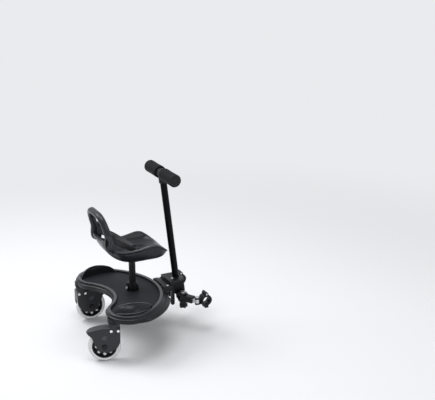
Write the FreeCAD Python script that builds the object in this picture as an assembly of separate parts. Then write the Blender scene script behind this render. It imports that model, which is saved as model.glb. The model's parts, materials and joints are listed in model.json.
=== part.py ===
"""Buggy board with a saddle, a pull-up handle, two swivel casters and two clamp arms.

Sizes are millimetres. The board is drawn with x to its right, y forward and z up from the ground,
with y = 0 on the line of the caster swivels. It is exported about the middle of the axle clamps.
"""
import math
import os

import FreeCAD
import Part

V = FreeCAD.Vector
X = V(1, 0, 0)
Y = V(0, 1, 0)
Z = V(0, 0, 1)

# General clearances
overrun = 3.0
run_gap = 0.4
slide_gap = 0.3
pin_gap = 0.05

# Towing axle, in front of the board
axle_ahead = 57.0
axle_z = 112.0
axle_r = 12.5

# Deck
lobe_x = 144.0
lobe_y = 57.0
lobe_r = 75.0
front_y = 218.0
notch_y = 43.0
skirt_z = 127.0
floor_z = 150.0
bead_h = 7.0
bead_w = 12.0
bead_round = 3.4
deck_wall = 4.0
floor_t = 4.0
rib_t = 2.4
rib_h = 15.0
rib_x_shares = (0.22, 0.52, 0.8)
rib_y_shares = (0.2, 0.42, 0.62, 0.82)

# Foot guards on the deck
guard_inset = 19.0
guard_lean = 31.0
guard_h = 33.0
guard_in_shares = (0.0, 0.11, 0.32, 0.61, 1.0)
guard_up_shares = (0.0, 0.36, 0.67, 0.87, 1.0)
guard_hollow_r = 150.0
guard_hollow_x = 20.0
guard_hollow_y = 75.0
guard_draft = 3.0

# Casters
swivel_x = 157.0
trail = 31.0
wheel_r = 50.0
wheel_w = 24.0
right_trail_deg = 21.0
left_trail_deg = 180.0
fork_side_gap = 1.4
fork_wall = 3.6
fork_front = 18.0
fork_top_gap = 1.2
fork_arch_gap = 4.0
neck_r = 18.0
neck_h = 12.0
visor_len = 85.0
visor_top = 14.0
visor_lip = 3.0
shield_y_shares = (0.74, 0.38, 0.02, -0.34, -0.58, -0.74)
shield_z_shares = (-0.08, -0.30, -0.34, -0.24, 0.24, 0.68)
leg_z_share = 0.40
fork_round = 4.5
stem_r = 6.0
stem_sink = 26.0
stem_top_gap = 3.0
bush_wall = 2.6
boss_wall = 4.4
caster_axle_r = 4.0
axle_head_r = 7.5
axle_head_t = 4.0
side_screw_r = 4.4
side_screw_t = 1.6
side_screw_pitch = 21.0
side_screw_ahead = 2.0
side_screw_drop = 22.0

# Wheels
tyre_t = 12.0
tyre_round = 7.0
rim_lip = 1.6
rim_t = 4.0
hub_r = 14.0
web_t = 6.0
window_r = 5.0
window_ring_r = 25.0
window_count = 8
bearing_r = 11.0
bearing_w = 7.0

# Saddle post and collar
post_y = 124.5
post_r = 10.8
flute_r = 1.2
flute_count = 10
flute_margin = 8.0
collar_r = 16.0
collar_h = 18.0
collar_seat = 1.0
lug_r = 4.6
lug_h_share = 0.8
lug_count = 4
post_foot_gap = 3.0
socket_wall = 4.0
collar_button_r = 4.0
collar_button_len = 9.0
collar_button_travel = 3.0
collar_button_proud = 4.0

# Saddle seat: sections from the underside up
seat_above_floor = 96.0
seat_h = 112.0
seat_nose_gap = 31.0
seat_len = 240.0
seat_half_w = 76.0
seat_z_shares = (0.0, 0.055, 0.14, 0.30, 0.51, 0.75, 1.0)
seat_rear_shares = (0.46, 0.40, 0.28, 0.18, 0.10, 0.04, 0.0)
seat_front_shares = (0.72, 0.93, 0.985, 1.0, 1.0, 1.0, 1.0)
seat_w_shares = (0.26, 0.50, 0.69, 0.84, 0.93, 0.98, 1.0)
rim_y_shares = (-0.08, 0.065, 0.14, 0.25, 0.43, 0.60, 0.705, 0.80, 1.04)
rim_z_shares = (0.90, 0.90, 0.68, 0.565, 0.555, 0.605, 0.635, 0.53, 0.17)
seat_wall = 5.0
scoop_z_shares = (0.33, 0.40, 0.52, 0.75, 1.06)
scoop_rear_shares = (0.36, 0.24, 0.12, 0.07, 0.03)
scoop_front_shares = (0.78, 0.92, 0.965, 0.97, 0.97)
scoop_w_shares = (0.42, 0.70, 0.84, 0.90, 0.93)
pocket_z_shares = (-0.02, 0.055, 0.14, 0.25)
pocket_front_shares = (0.70, 0.86, 0.93, 0.95)
pocket_w_shares = (0.20, 0.42, 0.60, 0.70)
pocket_cross_share = 0.35
seat_boss_wall = 5.0
seat_rib_t = 3.0
post_seat_depth = 26.0

# Hoop backrest
hoop_in = 12.0
hoop_ahead = 32.0
hoop_back = 30.0
hoop_foot_share = 0.68
hoop_rise = 107.0
hoop_r = 11.5
hoop_corner_r = 40.0
hoop_sink = 16.0

# Waist belt
web_w = 25.0
web_t_soft = 2.2
belt_gap = 0.4
clip_w = 34.0
clip_t = 7.0
clip_h = 14.0
clip_up = 34.0
buckle_len = 46.0
buckle_w = 34.0
buckle_t = 12.0
buckle_ahead = 8.0
belt_bow_in = 10.0
belt_bow_ahead = 58.0
belt_end_reach = 26.0
belt_stations = 9

# Hitch block, cross plate and buttons
plate_half_w = 44.0
plate_front_y = 246.0
plate_top_z = 156.0
plate_t = 18.0
plate_screw_x = 36.0
plate_screw_r = 4.0
plate_screw_t = 2.0
block_half_w = 28.0
block_top_z = 168.0
block_round = 3.0
flange_half_w = 39.0
flange_lap = 5.5
rail_w = 12.0
rail_len = 10.0
rail_foot_z = 98.0
thumb_r = 7.0
thumb_h = 15.0
thumb_shank_r = 3.0
thumb_shank_len = 12.0
hinge_y = 280.0
hinge_z = 112.0
hinge_r = 5.0
hinge_eye_r = 14.0
hinge_head_r = 8.0
hinge_head_t = 3.0
block_button_r = 4.5
block_button_x = 15.0
block_button_y = 257.0
block_button_len = 10.0
block_button_proud = 3.6
block_button_travel = 3.0

# Handle
pole_r = 11.0
pole_wall = 1.6
pole_lean = 6.5
pole_top_y = 277.1
pole_foot_z = 128.0
bar_z = 527.0
bar_r = 9.0
bar_wall = 1.5
tee_r = 14.5
tee_len = 30.0
handle_half_w = 100.0
grip_r = 20.5
grip_round = 2.5
cap_t = 3.0
cap_round = 1.2

# Yoke and arms
cheek_gap = 2.5
cheek_t = 6.0
cheek_h = 32.0
yoke_bar_front = 34.0
yoke_bar_w = 14.0
yoke_bar_h = 7.0
ear_t = 6.0
ear_r = 12.0
arm_pivot_x = 53.0
pivot_r = 4.0
pivot_head_r = 8.0
pivot_head_t = 4.0
knob_r = 14.0
knob_h = 18.0
knob_lobes = 5
knob_lobe_r = 4.0
clamp_x = 100.0
clamp_reach = 29.0
arm_h = 18.0
arm_w = 22.0
sleeve_share = 0.74
slide_h = 12.0
slide_w = 15.0
slide_in = 16.0
slide_end_r = 8.0
clamp_lug_t = 5.0
clamp_w = 26.0
clamp_wall = 6.0
clamp_pin_r = 3.0
clamp_split = 1.0
clamp_eye_r = 6.0
clamp_bolt_r = 3.5
clamp_head_r = 6.5
clamp_head_t = 2.6
clamp_lip = 7.0

bead_z = floor_z + bead_h
under_z = floor_z - floor_t
seat_low_z = floor_z + seat_above_floor
axle_y = hinge_y + axle_ahead
arm_pivot_y = hinge_y
seat_front_y = pole_top_y - seat_nose_gap
seat_rear_y = seat_front_y - seat_len
hoop_half_w = seat_half_w - hoop_in
hoop_foot_y = seat_rear_y + hoop_ahead
hoop_foot_z = seat_low_z + hoop_foot_share * seat_h
buckle_y = post_y + buckle_ahead


def box(x0, x1, y0, y1, z0, z1):
    """Axis-aligned block between two corners."""
    return Part.makeBox(x1 - x0, y1 - y0, z1 - z0, V(x0, y0, z0))


def rod(radius, start, end):
    """Round bar between two points."""
    return Part.makeCylinder(radius, (end - start).Length, start, end - start)


def face(edges):
    """Flat face inside a closed run of edges."""
    return Part.Face(Part.Wire(edges))


def arc(a, b, c):
    """Arc through three points."""
    return Part.Arc(a, b, c).toShape()


def ring(points):
    """Closed straight-sided outline."""
    return Part.makePolygon(points + [points[0]])


def side_prism(edges, half_w):
    """Profile in the y-z plane, swept across the board."""
    profile = face(edges)
    profile.translate(V(-half_w, 0, 0))
    return profile.extrude(V(half_w * 2, 0, 0))


def mirrored(shape):
    """The same shape on the board's other side."""
    return shape.mirror(V(0, 0, 0), X)


def rounded(shape, radius, test):
    """Fillet the edges that pass a test."""
    return shape.makeFillet(radius, [e for e in shape.Edges if test(e)])


def bevelled(shape, size, test):
    """Chamfer the edges that pass a test."""
    return shape.makeChamfer(size, [e for e in shape.Edges if test(e)])


def flat_at(level):
    """Test for edges that lie at one height."""
    return lambda e: all(abs(v.Z - level) < pin_gap for v in e.Vertexes)


# Deck outline: two lobes, a front arc and a rear notch, all tangent
def deck_edges(inset, z):
    front_d = lobe_y - front_y
    front_r = (lobe_x ** 2 + front_d ** 2 - lobe_r ** 2) / (-2 * (lobe_r + front_d))
    notch_d = lobe_y - notch_y
    notch_r = (lobe_x ** 2 + notch_d ** 2 - lobe_r ** 2) / (2 * (lobe_r - notch_d))
    front_a = math.atan2(lobe_y - front_y + front_r, lobe_x)
    notch_a = math.atan2(lobe_y - notch_y + notch_r, lobe_x) - math.pi
    lobe = lobe_r - inset

    def on_lobe(angle, side):
        return V(side * (lobe_x + lobe * math.cos(angle)), lobe_y + lobe * math.sin(angle), z)

    def lobe_arc(side):
        return arc(on_lobe(front_a, side), on_lobe((front_a + notch_a) / 2, side), on_lobe(notch_a, side))

    front = arc(on_lobe(front_a, 1), V(0, front_y - inset, z), on_lobe(front_a, -1))
    notch = arc(on_lobe(notch_a, -1), V(0, notch_y + inset, z), on_lobe(notch_a, 1))
    return [front, lobe_arc(-1), notch, lobe_arc(1)]


def deck_prism(inset, z0, z1):
    return face(deck_edges(inset, z0)).extrude(V(0, 0, z1 - z0))


def make_guards():
    """Crescent foot guards: a crowned band left outside two wide hollows."""
    root_z = floor_z - floor_t / 2
    sections = [Part.Wire(deck_edges(guard_inset, root_z))]
    for into, up in zip(guard_in_shares, guard_up_shares):
        sections.append(Part.Wire(deck_edges(guard_inset + into * guard_lean, floor_z + up * guard_h)))
    band = Part.makeLoft(sections, True, True)
    tall = guard_h + overrun + floor_t
    for side in (-1, 1):
        base = V(side * guard_hollow_x, guard_hollow_y, floor_z - floor_t)
        band = band.cut(Part.makeCone(guard_hollow_r, guard_hollow_r + guard_draft, tall, base))
    return band


def make_deck():
    tray = deck_prism(0, skirt_z, bead_z).cut(deck_prism(bead_w, floor_z, bead_z + overrun))
    tray = rounded(tray, bead_round, flat_at(bead_z))
    tray = tray.cut(deck_prism(deck_wall, skirt_z - overrun, under_z))
    inside = deck_prism(deck_wall / 2, skirt_z - overrun, floor_z - floor_t / 2)
    half_w = lobe_x + lobe_r
    rear_y = lobe_y - lobe_r
    extras = []
    for share in rib_x_shares:
        for side in (-1, 1):
            x = side * share * half_w
            extras.append(box(x - rib_t / 2, x + rib_t / 2, rear_y, front_y, under_z - rib_h, under_z + rib_t))
    for share in rib_y_shares:
        y = rear_y + share * (front_y - rear_y)
        extras.append(box(-half_w, half_w, y - rib_t / 2, y + rib_t / 2, under_z - rib_h, under_z + rib_t))
    boss_r = stem_r + bush_wall + boss_wall
    for side in (-1, 1):
        extras.append(rod(boss_r, V(side * swivel_x, 0, skirt_z), V(side * swivel_x, 0, floor_z - floor_t / 2)))
    socket_r = post_r + slide_gap + socket_wall
    extras.append(rod(socket_r, V(0, post_y, skirt_z), V(0, post_y, floor_z - floor_t / 2)))
    ribs = extras[0].multiFuse(extras[1:]).common(inside)
    deck = tray.fuse(ribs).fuse(make_guards())
    for side in (-1, 1):
        deck = deck.cut(bush_rod(side))
    bore_foot = V(0, post_y, skirt_z + post_foot_gap)
    deck = deck.cut(rod(post_r + slide_gap, bore_foot, V(0, post_y, bead_z)))
    deck = deck.cut(collar_blank(slide_gap, bead_z, bead_z))
    return deck.removeSplitter()


def bush_rod(side):
    """The room of a swivel bush in its deck boss."""
    return rod(stem_r + bush_wall, V(side * swivel_x, 0, skirt_z), V(side * swivel_x, 0, under_z))


# Caster, drawn at the origin trailing along -y and set in place afterwards
fork_half_w = wheel_w / 2 + fork_side_gap + fork_wall
fork_top_z = skirt_z - fork_top_gap
wheel_z = wheel_r
stem_foot_z = fork_top_z - stem_sink


def place_caster(shape, side):
    """Turn a caster piece to its trailing angle and set it under its swivel."""
    turned = shape.copy()
    turn = right_trail_deg if side > 0 else left_trail_deg
    turned.rotate(V(0, 0, 0), Z, -turn)
    turned.translate(V(side * swivel_x, 0, 0))
    return turned


def make_fork():
    """Moulded fork: leg and axle eye below, arched hood with a duckbill visor behind."""
    crown_z = fork_top_z - neck_h
    low = [V(0, -trail + wheel_r * y, wheel_z + wheel_r * z) for y, z in zip(shield_y_shares, shield_z_shares)]
    leg_end = V(0, fork_front, wheel_z + wheel_r * leg_z_share)
    front_top = V(0, fork_front, crown_z)
    crown = V(0, -neck_r, crown_z)
    tip_top = V(0, -visor_len, crown_z - visor_top)
    tip_low = tip_top - Z * visor_lip
    fall = math.atan2(visor_top, visor_len - neck_r)
    bow_r = (visor_len - neck_r) / math.sin(2 * fall)
    bow = V(0, -neck_r - bow_r * math.sin(fall), crown_z - bow_r * (1 - math.cos(fall)))
    edges = [Part.makeLine(leg_end, front_top), Part.makeLine(front_top, crown), arc(crown, bow, tip_top),
             Part.makeLine(tip_top, tip_low), Part.makeLine(tip_low, low[5]), arc(low[5], low[4], low[3]),
             arc(low[3], low[2], low[1]), arc(low[1], low[0], leg_end)]
    fork = side_prism(edges, fork_half_w)
    bill = rod(fork_half_w, V(0, fork_half_w - visor_len, 0), V(0, fork_half_w - visor_len, fork_top_z))
    bill = bill.fuse(box(-fork_half_w, fork_half_w, fork_half_w - visor_len, fork_front + overrun, 0, fork_top_z))
    fork = fork.common(bill).removeSplitter()
    hood_z = crown_z - visor_top - pin_gap
    fork = rounded(fork, fork_round, lambda e: e.CenterOfMass.z > hood_z and
                   abs(e.CenterOfMass.y - fork_front) > pin_gap and abs(e.CenterOfMass.y + neck_r) > pin_gap and
                   e.CenterOfMass.y < fork_front - pin_gap)
    neck = rod(neck_r, V(0, 0, crown_z - fork_round), V(0, 0, fork_top_z))
    fork = fork.fuse(neck).removeSplitter()
    well_w = wheel_w / 2 + fork_side_gap
    hub = V(-well_w, -trail, wheel_z)
    well = Part.makeCylinder(wheel_r + fork_arch_gap, well_w * 2, hub, X)
    down = box(-well_w, well_w, -visor_len - overrun, fork_front + overrun, -overrun, wheel_z)
    fork = fork.cut(well).cut(down)
    across = fork_half_w + overrun
    fork = fork.cut(rod(caster_axle_r, V(-across, -trail, wheel_z), V(across, -trail, wheel_z)))
    return fork.cut(rod(stem_r, V(0, 0, stem_foot_z), V(0, 0, fork_top_z + overrun)))


def make_stem():
    """Swivel stem, fast in the fork and turning in the deck's bush."""
    return rod(stem_r, V(0, 0, stem_foot_z), V(0, 0, under_z - stem_top_gap))


def make_axle():
    """Axle bolt and its nut, outside the two fork walls."""
    end = fork_half_w
    shank = rod(caster_axle_r, V(-end, -trail, wheel_z), V(end, -trail, wheel_z))
    head = rod(axle_head_r, V(end, -trail, wheel_z), V(end + axle_head_t, -trail, wheel_z))
    nut = rod(axle_head_r, V(-end - axle_head_t, -trail, wheel_z), V(-end, -trail, wheel_z))
    head = bevelled(head, axle_head_t / 3, lambda e: abs(e.CenterOfMass.x - end - axle_head_t) < pin_gap)
    return shank.fuse(head).fuse(nut).removeSplitter()


def make_side_screws():
    """Four round screw heads, two on each side of the leg."""
    heads = []
    z = fork_top_z - side_screw_drop
    for side in (-1, 1):
        for step in (-0.5, 0.5):
            start = V(side * fork_half_w, side_screw_ahead + step * side_screw_pitch, z)
            heads.append(rod(side_screw_r, start, start + X * (side * side_screw_t)))
    return Part.makeCompound(heads)


# Wheel, drawn on the caster's axle
def spin(points):
    """Turn a half profile of (radius, x) pairs round the wheel's axle."""
    outline = [V(x, -trail, wheel_z + r) for r, x in points]
    return Part.Face(ring(outline)).revolve(V(0, -trail, wheel_z), X, 360)


def make_tyre():
    tyre_in = wheel_r - tyre_t
    half = wheel_w / 2
    edge = half - tyre_round * 0.6
    points = [(tyre_in, -half + rim_lip), (wheel_r - tyre_round, -half), (wheel_r - tyre_round * 0.35, -edge),
              (wheel_r, -edge / 2.5), (wheel_r, edge / 2.5), (wheel_r - tyre_round * 0.35, edge),
              (wheel_r - tyre_round, half), (tyre_in, half - rim_lip)]
    return spin(points)


def make_hub():
    rim_r = wheel_r - tyre_t
    rim_half = wheel_w / 2 - rim_lip
    web = web_t / 2
    points = [(bearing_r, -rim_half), (hub_r, -rim_half), (hub_r, -web), (rim_r - rim_t, -web),
              (rim_r - rim_t, -rim_half), (rim_r, -rim_half), (rim_r, rim_half), (rim_r - rim_t, rim_half),
              (rim_r - rim_t, web), (hub_r, web), (hub_r, rim_half), (bearing_r, rim_half)]
    hub = spin(points)
    stop_r = (bearing_r + caster_axle_r) / 2 + caster_axle_r / 4
    inner = rim_half - bearing_w
    stop = rod(bearing_r, V(-inner, -trail, wheel_z), V(inner, -trail, wheel_z))
    hub = hub.fuse(stop.cut(rod(stop_r, V(-rim_half, -trail, wheel_z), V(rim_half, -trail, wheel_z))))
    for index in range(window_count):
        angle = 2 * math.pi * index / window_count
        y = -trail + window_ring_r * math.cos(angle)
        z = wheel_z + window_ring_r * math.sin(angle)
        hub = hub.cut(rod(window_r, V(-wheel_w, y, z), V(wheel_w, y, z)))
    return hub.removeSplitter()


def make_bearings():
    rim_half = wheel_w / 2 - rim_lip
    races = []
    for start in (-rim_half, rim_half - bearing_w):
        a = V(start, -trail, wheel_z)
        b = V(start + bearing_w, -trail, wheel_z)
        races.append(rod(bearing_r, a, b).cut(rod(caster_axle_r + pin_gap, a - X, b + X)))
    return Part.makeCompound(races)


# Saddle post, collar and collar button
post_foot_z = skirt_z + post_foot_gap
post_top_z = seat_low_z + post_seat_depth
collar_z = floor_z + collar_h


def make_post():
    """Fluted post from its deck socket up into the seat boss."""
    post = rod(post_r, V(0, post_y, post_foot_z), V(0, post_y, post_top_z))
    for index in range(flute_count):
        angle = 2 * math.pi * (index + 0.5) / flute_count
        x = post_r * math.cos(angle)
        y = post_y + post_r * math.sin(angle)
        post = post.cut(rod(flute_r, V(x, y, collar_z + flute_margin), V(x, y, seat_low_z - flute_margin)))
    return post


def button_axis(reach):
    """Point on the collar button's line, behind the post."""
    return V(0, post_y - reach, floor_z + collar_h / 2)


collar_button_in = post_r + collar_button_travel + slide_gap
collar_button_out = collar_button_in + collar_button_len


def collar_blank(grow, top_z, lug_z):
    """Outside of the collar from its seat up, or of the seat that it stands in."""
    foot = floor_z - collar_seat
    blank = rod(collar_r + grow, V(0, post_y, foot), V(0, post_y, top_z))
    for index in range(lug_count):
        angle = 2 * math.pi * (index + 0.5) / lug_count
        x = collar_r * math.cos(angle)
        y = post_y + collar_r * math.sin(angle)
        blank = blank.fuse(rod(lug_r + grow, V(x, y, foot), V(x, y, lug_z)))
    half = collar_button_r + slide_gap + bush_wall + grow
    back = post_y - collar_button_out + collar_button_proud - grow
    return blank.fuse(box(-half, half, back, post_y, foot, top_z))


def make_collar():
    """Collar round the post foot, with lugs and a housing for its button."""
    collar = collar_blank(0, collar_z, floor_z + collar_h * lug_h_share)
    collar = collar.cut(rod(post_r + slide_gap, V(0, post_y, skirt_z), V(0, post_y, collar_z + overrun)))
    room = rod(collar_button_r + slide_gap, button_axis(0), button_axis(collar_button_out + overrun))
    return collar.cut(room).removeSplitter()


def make_collar_button():
    return rod(collar_button_r, button_axis(collar_button_in), button_axis(collar_button_out))


# Seat: sections are rounded oblongs, lofted from the underside up
seat_corner_share = 0.7


def seat_section(z_share, rear_share, front_share, w_share):
    """Rounded oblong across the seat at one height."""
    z = seat_low_z + z_share * seat_h
    rear = seat_rear_y + rear_share * seat_len
    front = seat_rear_y + front_share * seat_len
    half = w_share * seat_half_w
    corner = min(half, (front - rear) / 2) * seat_corner_share
    bend = corner * (1 - math.sqrt(0.5))
    edges = [Part.makeLine(V(-half, front - corner, z), V(-half, rear + corner, z)),
             arc(V(-half, rear + corner, z), V(bend - half, rear + bend, z), V(corner - half, rear, z)),
             Part.makeLine(V(corner - half, rear, z), V(half - corner, rear, z)),
             arc(V(half - corner, rear, z), V(half - bend, rear + bend, z), V(half, rear + corner, z)),
             Part.makeLine(V(half, rear + corner, z), V(half, front - corner, z)),
             arc(V(half, front - corner, z), V(half - bend, front - bend, z), V(half - corner, front, z)),
             Part.makeLine(V(half - corner, front, z), V(corner - half, front, z)),
             arc(V(corner - half, front, z), V(bend - half, front - bend, z), V(-half, front - corner, z))]
    return Part.Wire(edges)


def seat_loft(z_shares, rear_shares, front_shares, w_shares):
    sections = [seat_section(*row) for row in zip(z_shares, rear_shares, front_shares, w_shares)]
    return Part.makeLoft(sections, True, False)


def rim_cutter():
    """Everything above the seat's rim line, seen from the side."""
    p = [V(0, seat_rear_y + a * seat_len, seat_low_z + b * seat_h) for a, b in zip(rim_y_shares, rim_z_shares)]
    top_z = seat_low_z + seat_h + overrun
    edges = [Part.makeLine(p[0], p[1]), arc(p[1], p[2], p[3]), arc(p[3], p[4], p[5]), arc(p[5], p[6], p[7]),
             Part.makeLine(p[7], p[8])]
    high = [V(0, p[8].y, top_z), V(0, p[0].y, top_z)]
    edges += [Part.makeLine(p[8], high[0]), Part.makeLine(high[0], high[1]), Part.makeLine(high[1], p[0])]
    return side_prism(edges, seat_half_w + overrun)


def make_seat():
    """Moulded scoop: outer form, rim line, scoop above, ribbed pocket below."""
    seat = seat_loft(seat_z_shares, seat_rear_shares, seat_front_shares, seat_w_shares)
    seat = seat.cut(rim_cutter())
    seat = seat.cut(seat_loft(scoop_z_shares, scoop_rear_shares, scoop_front_shares, scoop_w_shares))
    pocket_rear_y = post_y + post_r + seat_boss_wall
    rear_share = (pocket_rear_y - seat_rear_y) / seat_len
    pocket = seat_loft(pocket_z_shares, [rear_share] * len(pocket_z_shares), pocket_front_shares, pocket_w_shares)
    roof_z = seat_low_z + pocket_z_shares[-1] * seat_h
    rib = box(-seat_rib_t / 2, seat_rib_t / 2, seat_rear_y, seat_front_y, seat_low_z, roof_z)
    mouth = seat_rear_y + pocket_front_shares[0] * seat_len - pocket_rear_y
    cross_y = pocket_rear_y + mouth * pocket_cross_share
    cross = box(-seat_half_w, seat_half_w, cross_y, cross_y + seat_rib_t, seat_low_z, roof_z)
    seat = seat.cut(pocket.cut(rib.fuse(cross)))
    seat = seat.cut(rod(post_r, V(0, post_y, seat_low_z - overrun), V(0, post_y, post_top_z)))
    for side in (-1, 1):
        low = hoop_point(-hoop_sink - seat_wall, side)
        high = hoop_point(hoop_r, side)
        seat = seat.fuse(rod(hoop_r + seat_wall / 2, low, high))
    return seat.cut(make_hoop()).removeSplitter()


# Hoop backrest, in a leaning plane
hoop_up = V(0, -hoop_back, hoop_rise)
hoop_h = hoop_up.Length
hoop_up.normalize()


def hoop_point(up, side, inward=0):
    """Point of the hoop's plane: up its lean, and in from one bar."""
    return V(side * (hoop_half_w - inward), hoop_foot_y, hoop_foot_z) + hoop_up * up


def make_hoop():
    """Round bar bent over two corners."""
    bend = hoop_corner_r * (1 - math.sqrt(0.5))
    edges = [Part.makeLine(hoop_point(-hoop_sink, 1), hoop_point(hoop_h - hoop_corner_r, 1)),
             arc(hoop_point(hoop_h - hoop_corner_r, 1), hoop_point(hoop_h - bend, 1, bend),
                 hoop_point(hoop_h, 1, hoop_corner_r)),
             Part.makeLine(hoop_point(hoop_h, 1, hoop_corner_r), hoop_point(hoop_h, -1, hoop_corner_r)),
             arc(hoop_point(hoop_h, -1, hoop_corner_r), hoop_point(hoop_h - bend, -1, bend),
                 hoop_point(hoop_h - hoop_corner_r, -1)),
             Part.makeLine(hoop_point(hoop_h - hoop_corner_r, -1), hoop_point(-hoop_sink, -1))]
    section = Part.Wire(Part.makeCircle(hoop_r, hoop_point(-hoop_sink, 1), hoop_up))
    return Part.Wire(edges).makePipeShell([section], True, False)


# Waist belt: webbing from each bar to the buckle, and a clip on each bar
def make_clip(side):
    """Belt clip behind one hoop bar, hollowed to sit on the bar."""
    middle = hoop_point(clip_up, side)
    back = hoop_up.cross(X)
    block = Part.makeBox(clip_h, clip_t + hoop_r, clip_w, V(-clip_h / 2, 0, -clip_w / 2))
    turn = FreeCAD.Rotation(X, back, hoop_up, "ZXY")
    block.Placement = FreeCAD.Placement(middle, turn)
    return block.cut(make_hoop())


buckle_z = seat_low_z + scoop_z_shares[0] * seat_h + run_gap + buckle_t / 2


def make_web(side):
    """Webbing on a smooth curve, upright at the bar and turned flat at the buckle."""
    start = hoop_point(clip_up, side, hoop_r + belt_gap + web_t_soft)
    bow = V(side * (hoop_half_w - belt_bow_in), hoop_foot_y + belt_bow_ahead, hoop_foot_z)
    end = V(side * (buckle_len / 2), buckle_y, buckle_z)
    ahead = end + X * (side * belt_end_reach)
    sections = []
    for index in range(belt_stations):
        t = index / (belt_stations - 1)
        u = 1 - t
        point = start * u ** 3 + bow * (3 * u * u * t) + ahead * (3 * u * t * t) + end * t ** 3
        run = (bow - start) * u ** 2 + (ahead - bow) * (2 * u * t) + (end - ahead) * t ** 2
        along = V(run.x, run.y, 0).normalize()
        tilt = math.pi / 2 * t * t * (3 - 2 * t)
        tall = Z * math.cos(tilt) + along.cross(Z) * (side * math.sin(tilt))
        half = tall * (web_w / 2)
        thin = along.cross(tall) * (web_t_soft / 2)
        sections.append(ring([point - half - thin, point + half - thin, point + half + thin, point - half + thin]))
    return Part.makeLoft(sections, True, True)


def make_buckle(side):
    """Half of the side-release buckle: the socket or the plug."""
    low = buckle_z - buckle_t / 2
    half = box(0, buckle_len / 2, buckle_y - buckle_w / 2, buckle_y + buckle_w / 2, low, low + buckle_t)
    half = rounded(half, buckle_t / 4, lambda e: abs(e.tangentAt(e.FirstParameter).x) < pin_gap and
                   e.CenterOfMass.x > pin_gap)
    return half if side > 0 else mirrored(half)


# Hitch: cross plate, block, buttons
block_rear_y = plate_front_y
hinge = V(0, hinge_y, hinge_z)


def pole_point(z, off=0):
    """Point of the handle pole's axis at one height."""
    lean = math.radians(pole_lean)
    return V(0, pole_top_y - (z - block_top_z) * math.tan(lean) + off, z)


def make_cross_plate():
    """Moulded bar across the front of the deck skirt."""
    low = plate_top_z - plate_t
    plate = box(-plate_half_w, plate_half_w, front_y - overrun * 4, plate_front_y, low, plate_top_z)
    plate = rounded(plate, plate_t / 3, lambda e: e.CenterOfMass.y > plate_front_y - pin_gap and
                    abs(e.CenterOfMass.x) > plate_half_w - pin_gap)
    plate = plate.cut(deck_prism(0, skirt_z - overrun, bead_z + overrun))
    return plate


def make_plate_screws():
    heads = []
    middle = (front_y + plate_front_y) / 2
    for side in (-1, 1):
        base = V(side * plate_screw_x, middle, plate_top_z)
        heads.append(rod(plate_screw_r, base, base + Z * plate_screw_t))
    return Part.makeCompound(heads)


rail_in = block_half_w - pole_wall
thumb_top = V(rail_in + rail_w / 2, block_rear_y + rail_len / 2, rail_foot_z)


def make_height_screws():
    """Domed thumb screws under the two rails of the block."""
    foot = thumb_top - Z * thumb_h
    head = bevelled(rod(thumb_r, foot, thumb_top), thumb_r / 2, flat_at(foot.z))
    screw = head.fuse(rod(thumb_shank_r, thumb_top - Z * thumb_shank_r, thumb_top + Z * thumb_shank_len))
    screw = screw.removeSplitter()
    return Part.makeCompound([screw, mirrored(screw)])


def make_block():
    """Hitch block: socket for the pole above, eye for the hinge pin below."""
    front = pole_point(block_top_z).y + pole_r + pole_wall * 3
    toe = pole_point(hinge_z + hinge_eye_r).y + pole_r + pole_wall * 3
    eye = hinge_eye_r * math.sqrt(0.5)
    p = [V(0, block_rear_y, block_top_z), V(0, front, block_top_z), V(0, toe, hinge_z + hinge_eye_r),
         V(0, hinge_y + hinge_eye_r, hinge_z), V(0, hinge_y, hinge_z - hinge_eye_r),
         V(0, block_rear_y, plate_top_z - plate_t)]
    edges = [Part.makeLine(p[0], p[1]), Part.makeLine(p[1], p[2]), Part.makeLine(p[2], p[3]),
             arc(p[3], V(0, hinge_y + eye, hinge_z - eye), p[4]), Part.makeLine(p[4], p[5]),
             Part.makeLine(p[5], p[0])]
    block = side_prism(edges, block_half_w)
    flange = box(-flange_half_w, flange_half_w, block_rear_y - flange_lap, front, plate_top_z, block_top_z)
    flange = rounded(flange, block_round, flat_at(block_top_z))
    block = block.fuse(flange)
    for side in (-1, 1):
        rail = box(rail_in, rail_in + rail_w, block_rear_y, block_rear_y + rail_len, rail_foot_z, plate_top_z)
        rail = rail.cut(rod(thumb_shank_r, thumb_top - Z * thumb_shank_len, thumb_top + Z * thumb_shank_len))
        block = block.fuse(rail if side > 0 else mirrored(rail))
    block = block.removeSplitter()
    block = block.cut(rod(pole_r + slide_gap, pole_point(pole_foot_z), pole_point(block_top_z + overrun)))
    across = block_half_w + overrun
    block = block.cut(rod(hinge_r + pin_gap, hinge - X * across, hinge + X * across))
    return block.cut(block_button_room())


block_button_foot = block_top_z + block_button_proud - block_button_len


def block_button_room():
    foot = V(block_button_x, block_button_y, block_button_foot - block_button_travel - slide_gap)
    return rod(block_button_r + slide_gap, foot, V(block_button_x, block_button_y, block_top_z + overrun))


def make_block_button():
    foot = V(block_button_x, block_button_y, block_button_foot)
    button = rod(block_button_r, foot, foot + Z * block_button_len)
    return bevelled(button, block_button_r / 3, flat_at(foot.z + block_button_len))


# Handle: pole, tee, cross tube, grips and caps
bar = pole_point(bar_z)
tee_half = tee_len / 2
grip_end = handle_half_w - cap_t


def make_pole():
    top_z = bar_z - bar_r - pole_wall
    pole = rod(pole_r, pole_point(pole_foot_z), pole_point(top_z))
    return pole.cut(rod(pole_r - pole_wall, pole_point(pole_foot_z + pole_wall), pole_point(top_z + overrun)))


def make_tee():
    """Tee on the pole's top, with the cross tube through it."""
    tee = rod(tee_r, bar - X * tee_half, bar + X * tee_half)
    tee = tee.fuse(rod(pole_r + pole_wall * 2, pole_point(bar_z - tee_len), bar))
    tee = tee.cut(rod(bar_r, bar - X * tee_len, bar + X * tee_len))
    return tee.cut(rod(pole_r, pole_point(bar_z - tee_len * 2), pole_point(bar_z - bar_r - pole_wall)))


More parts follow.
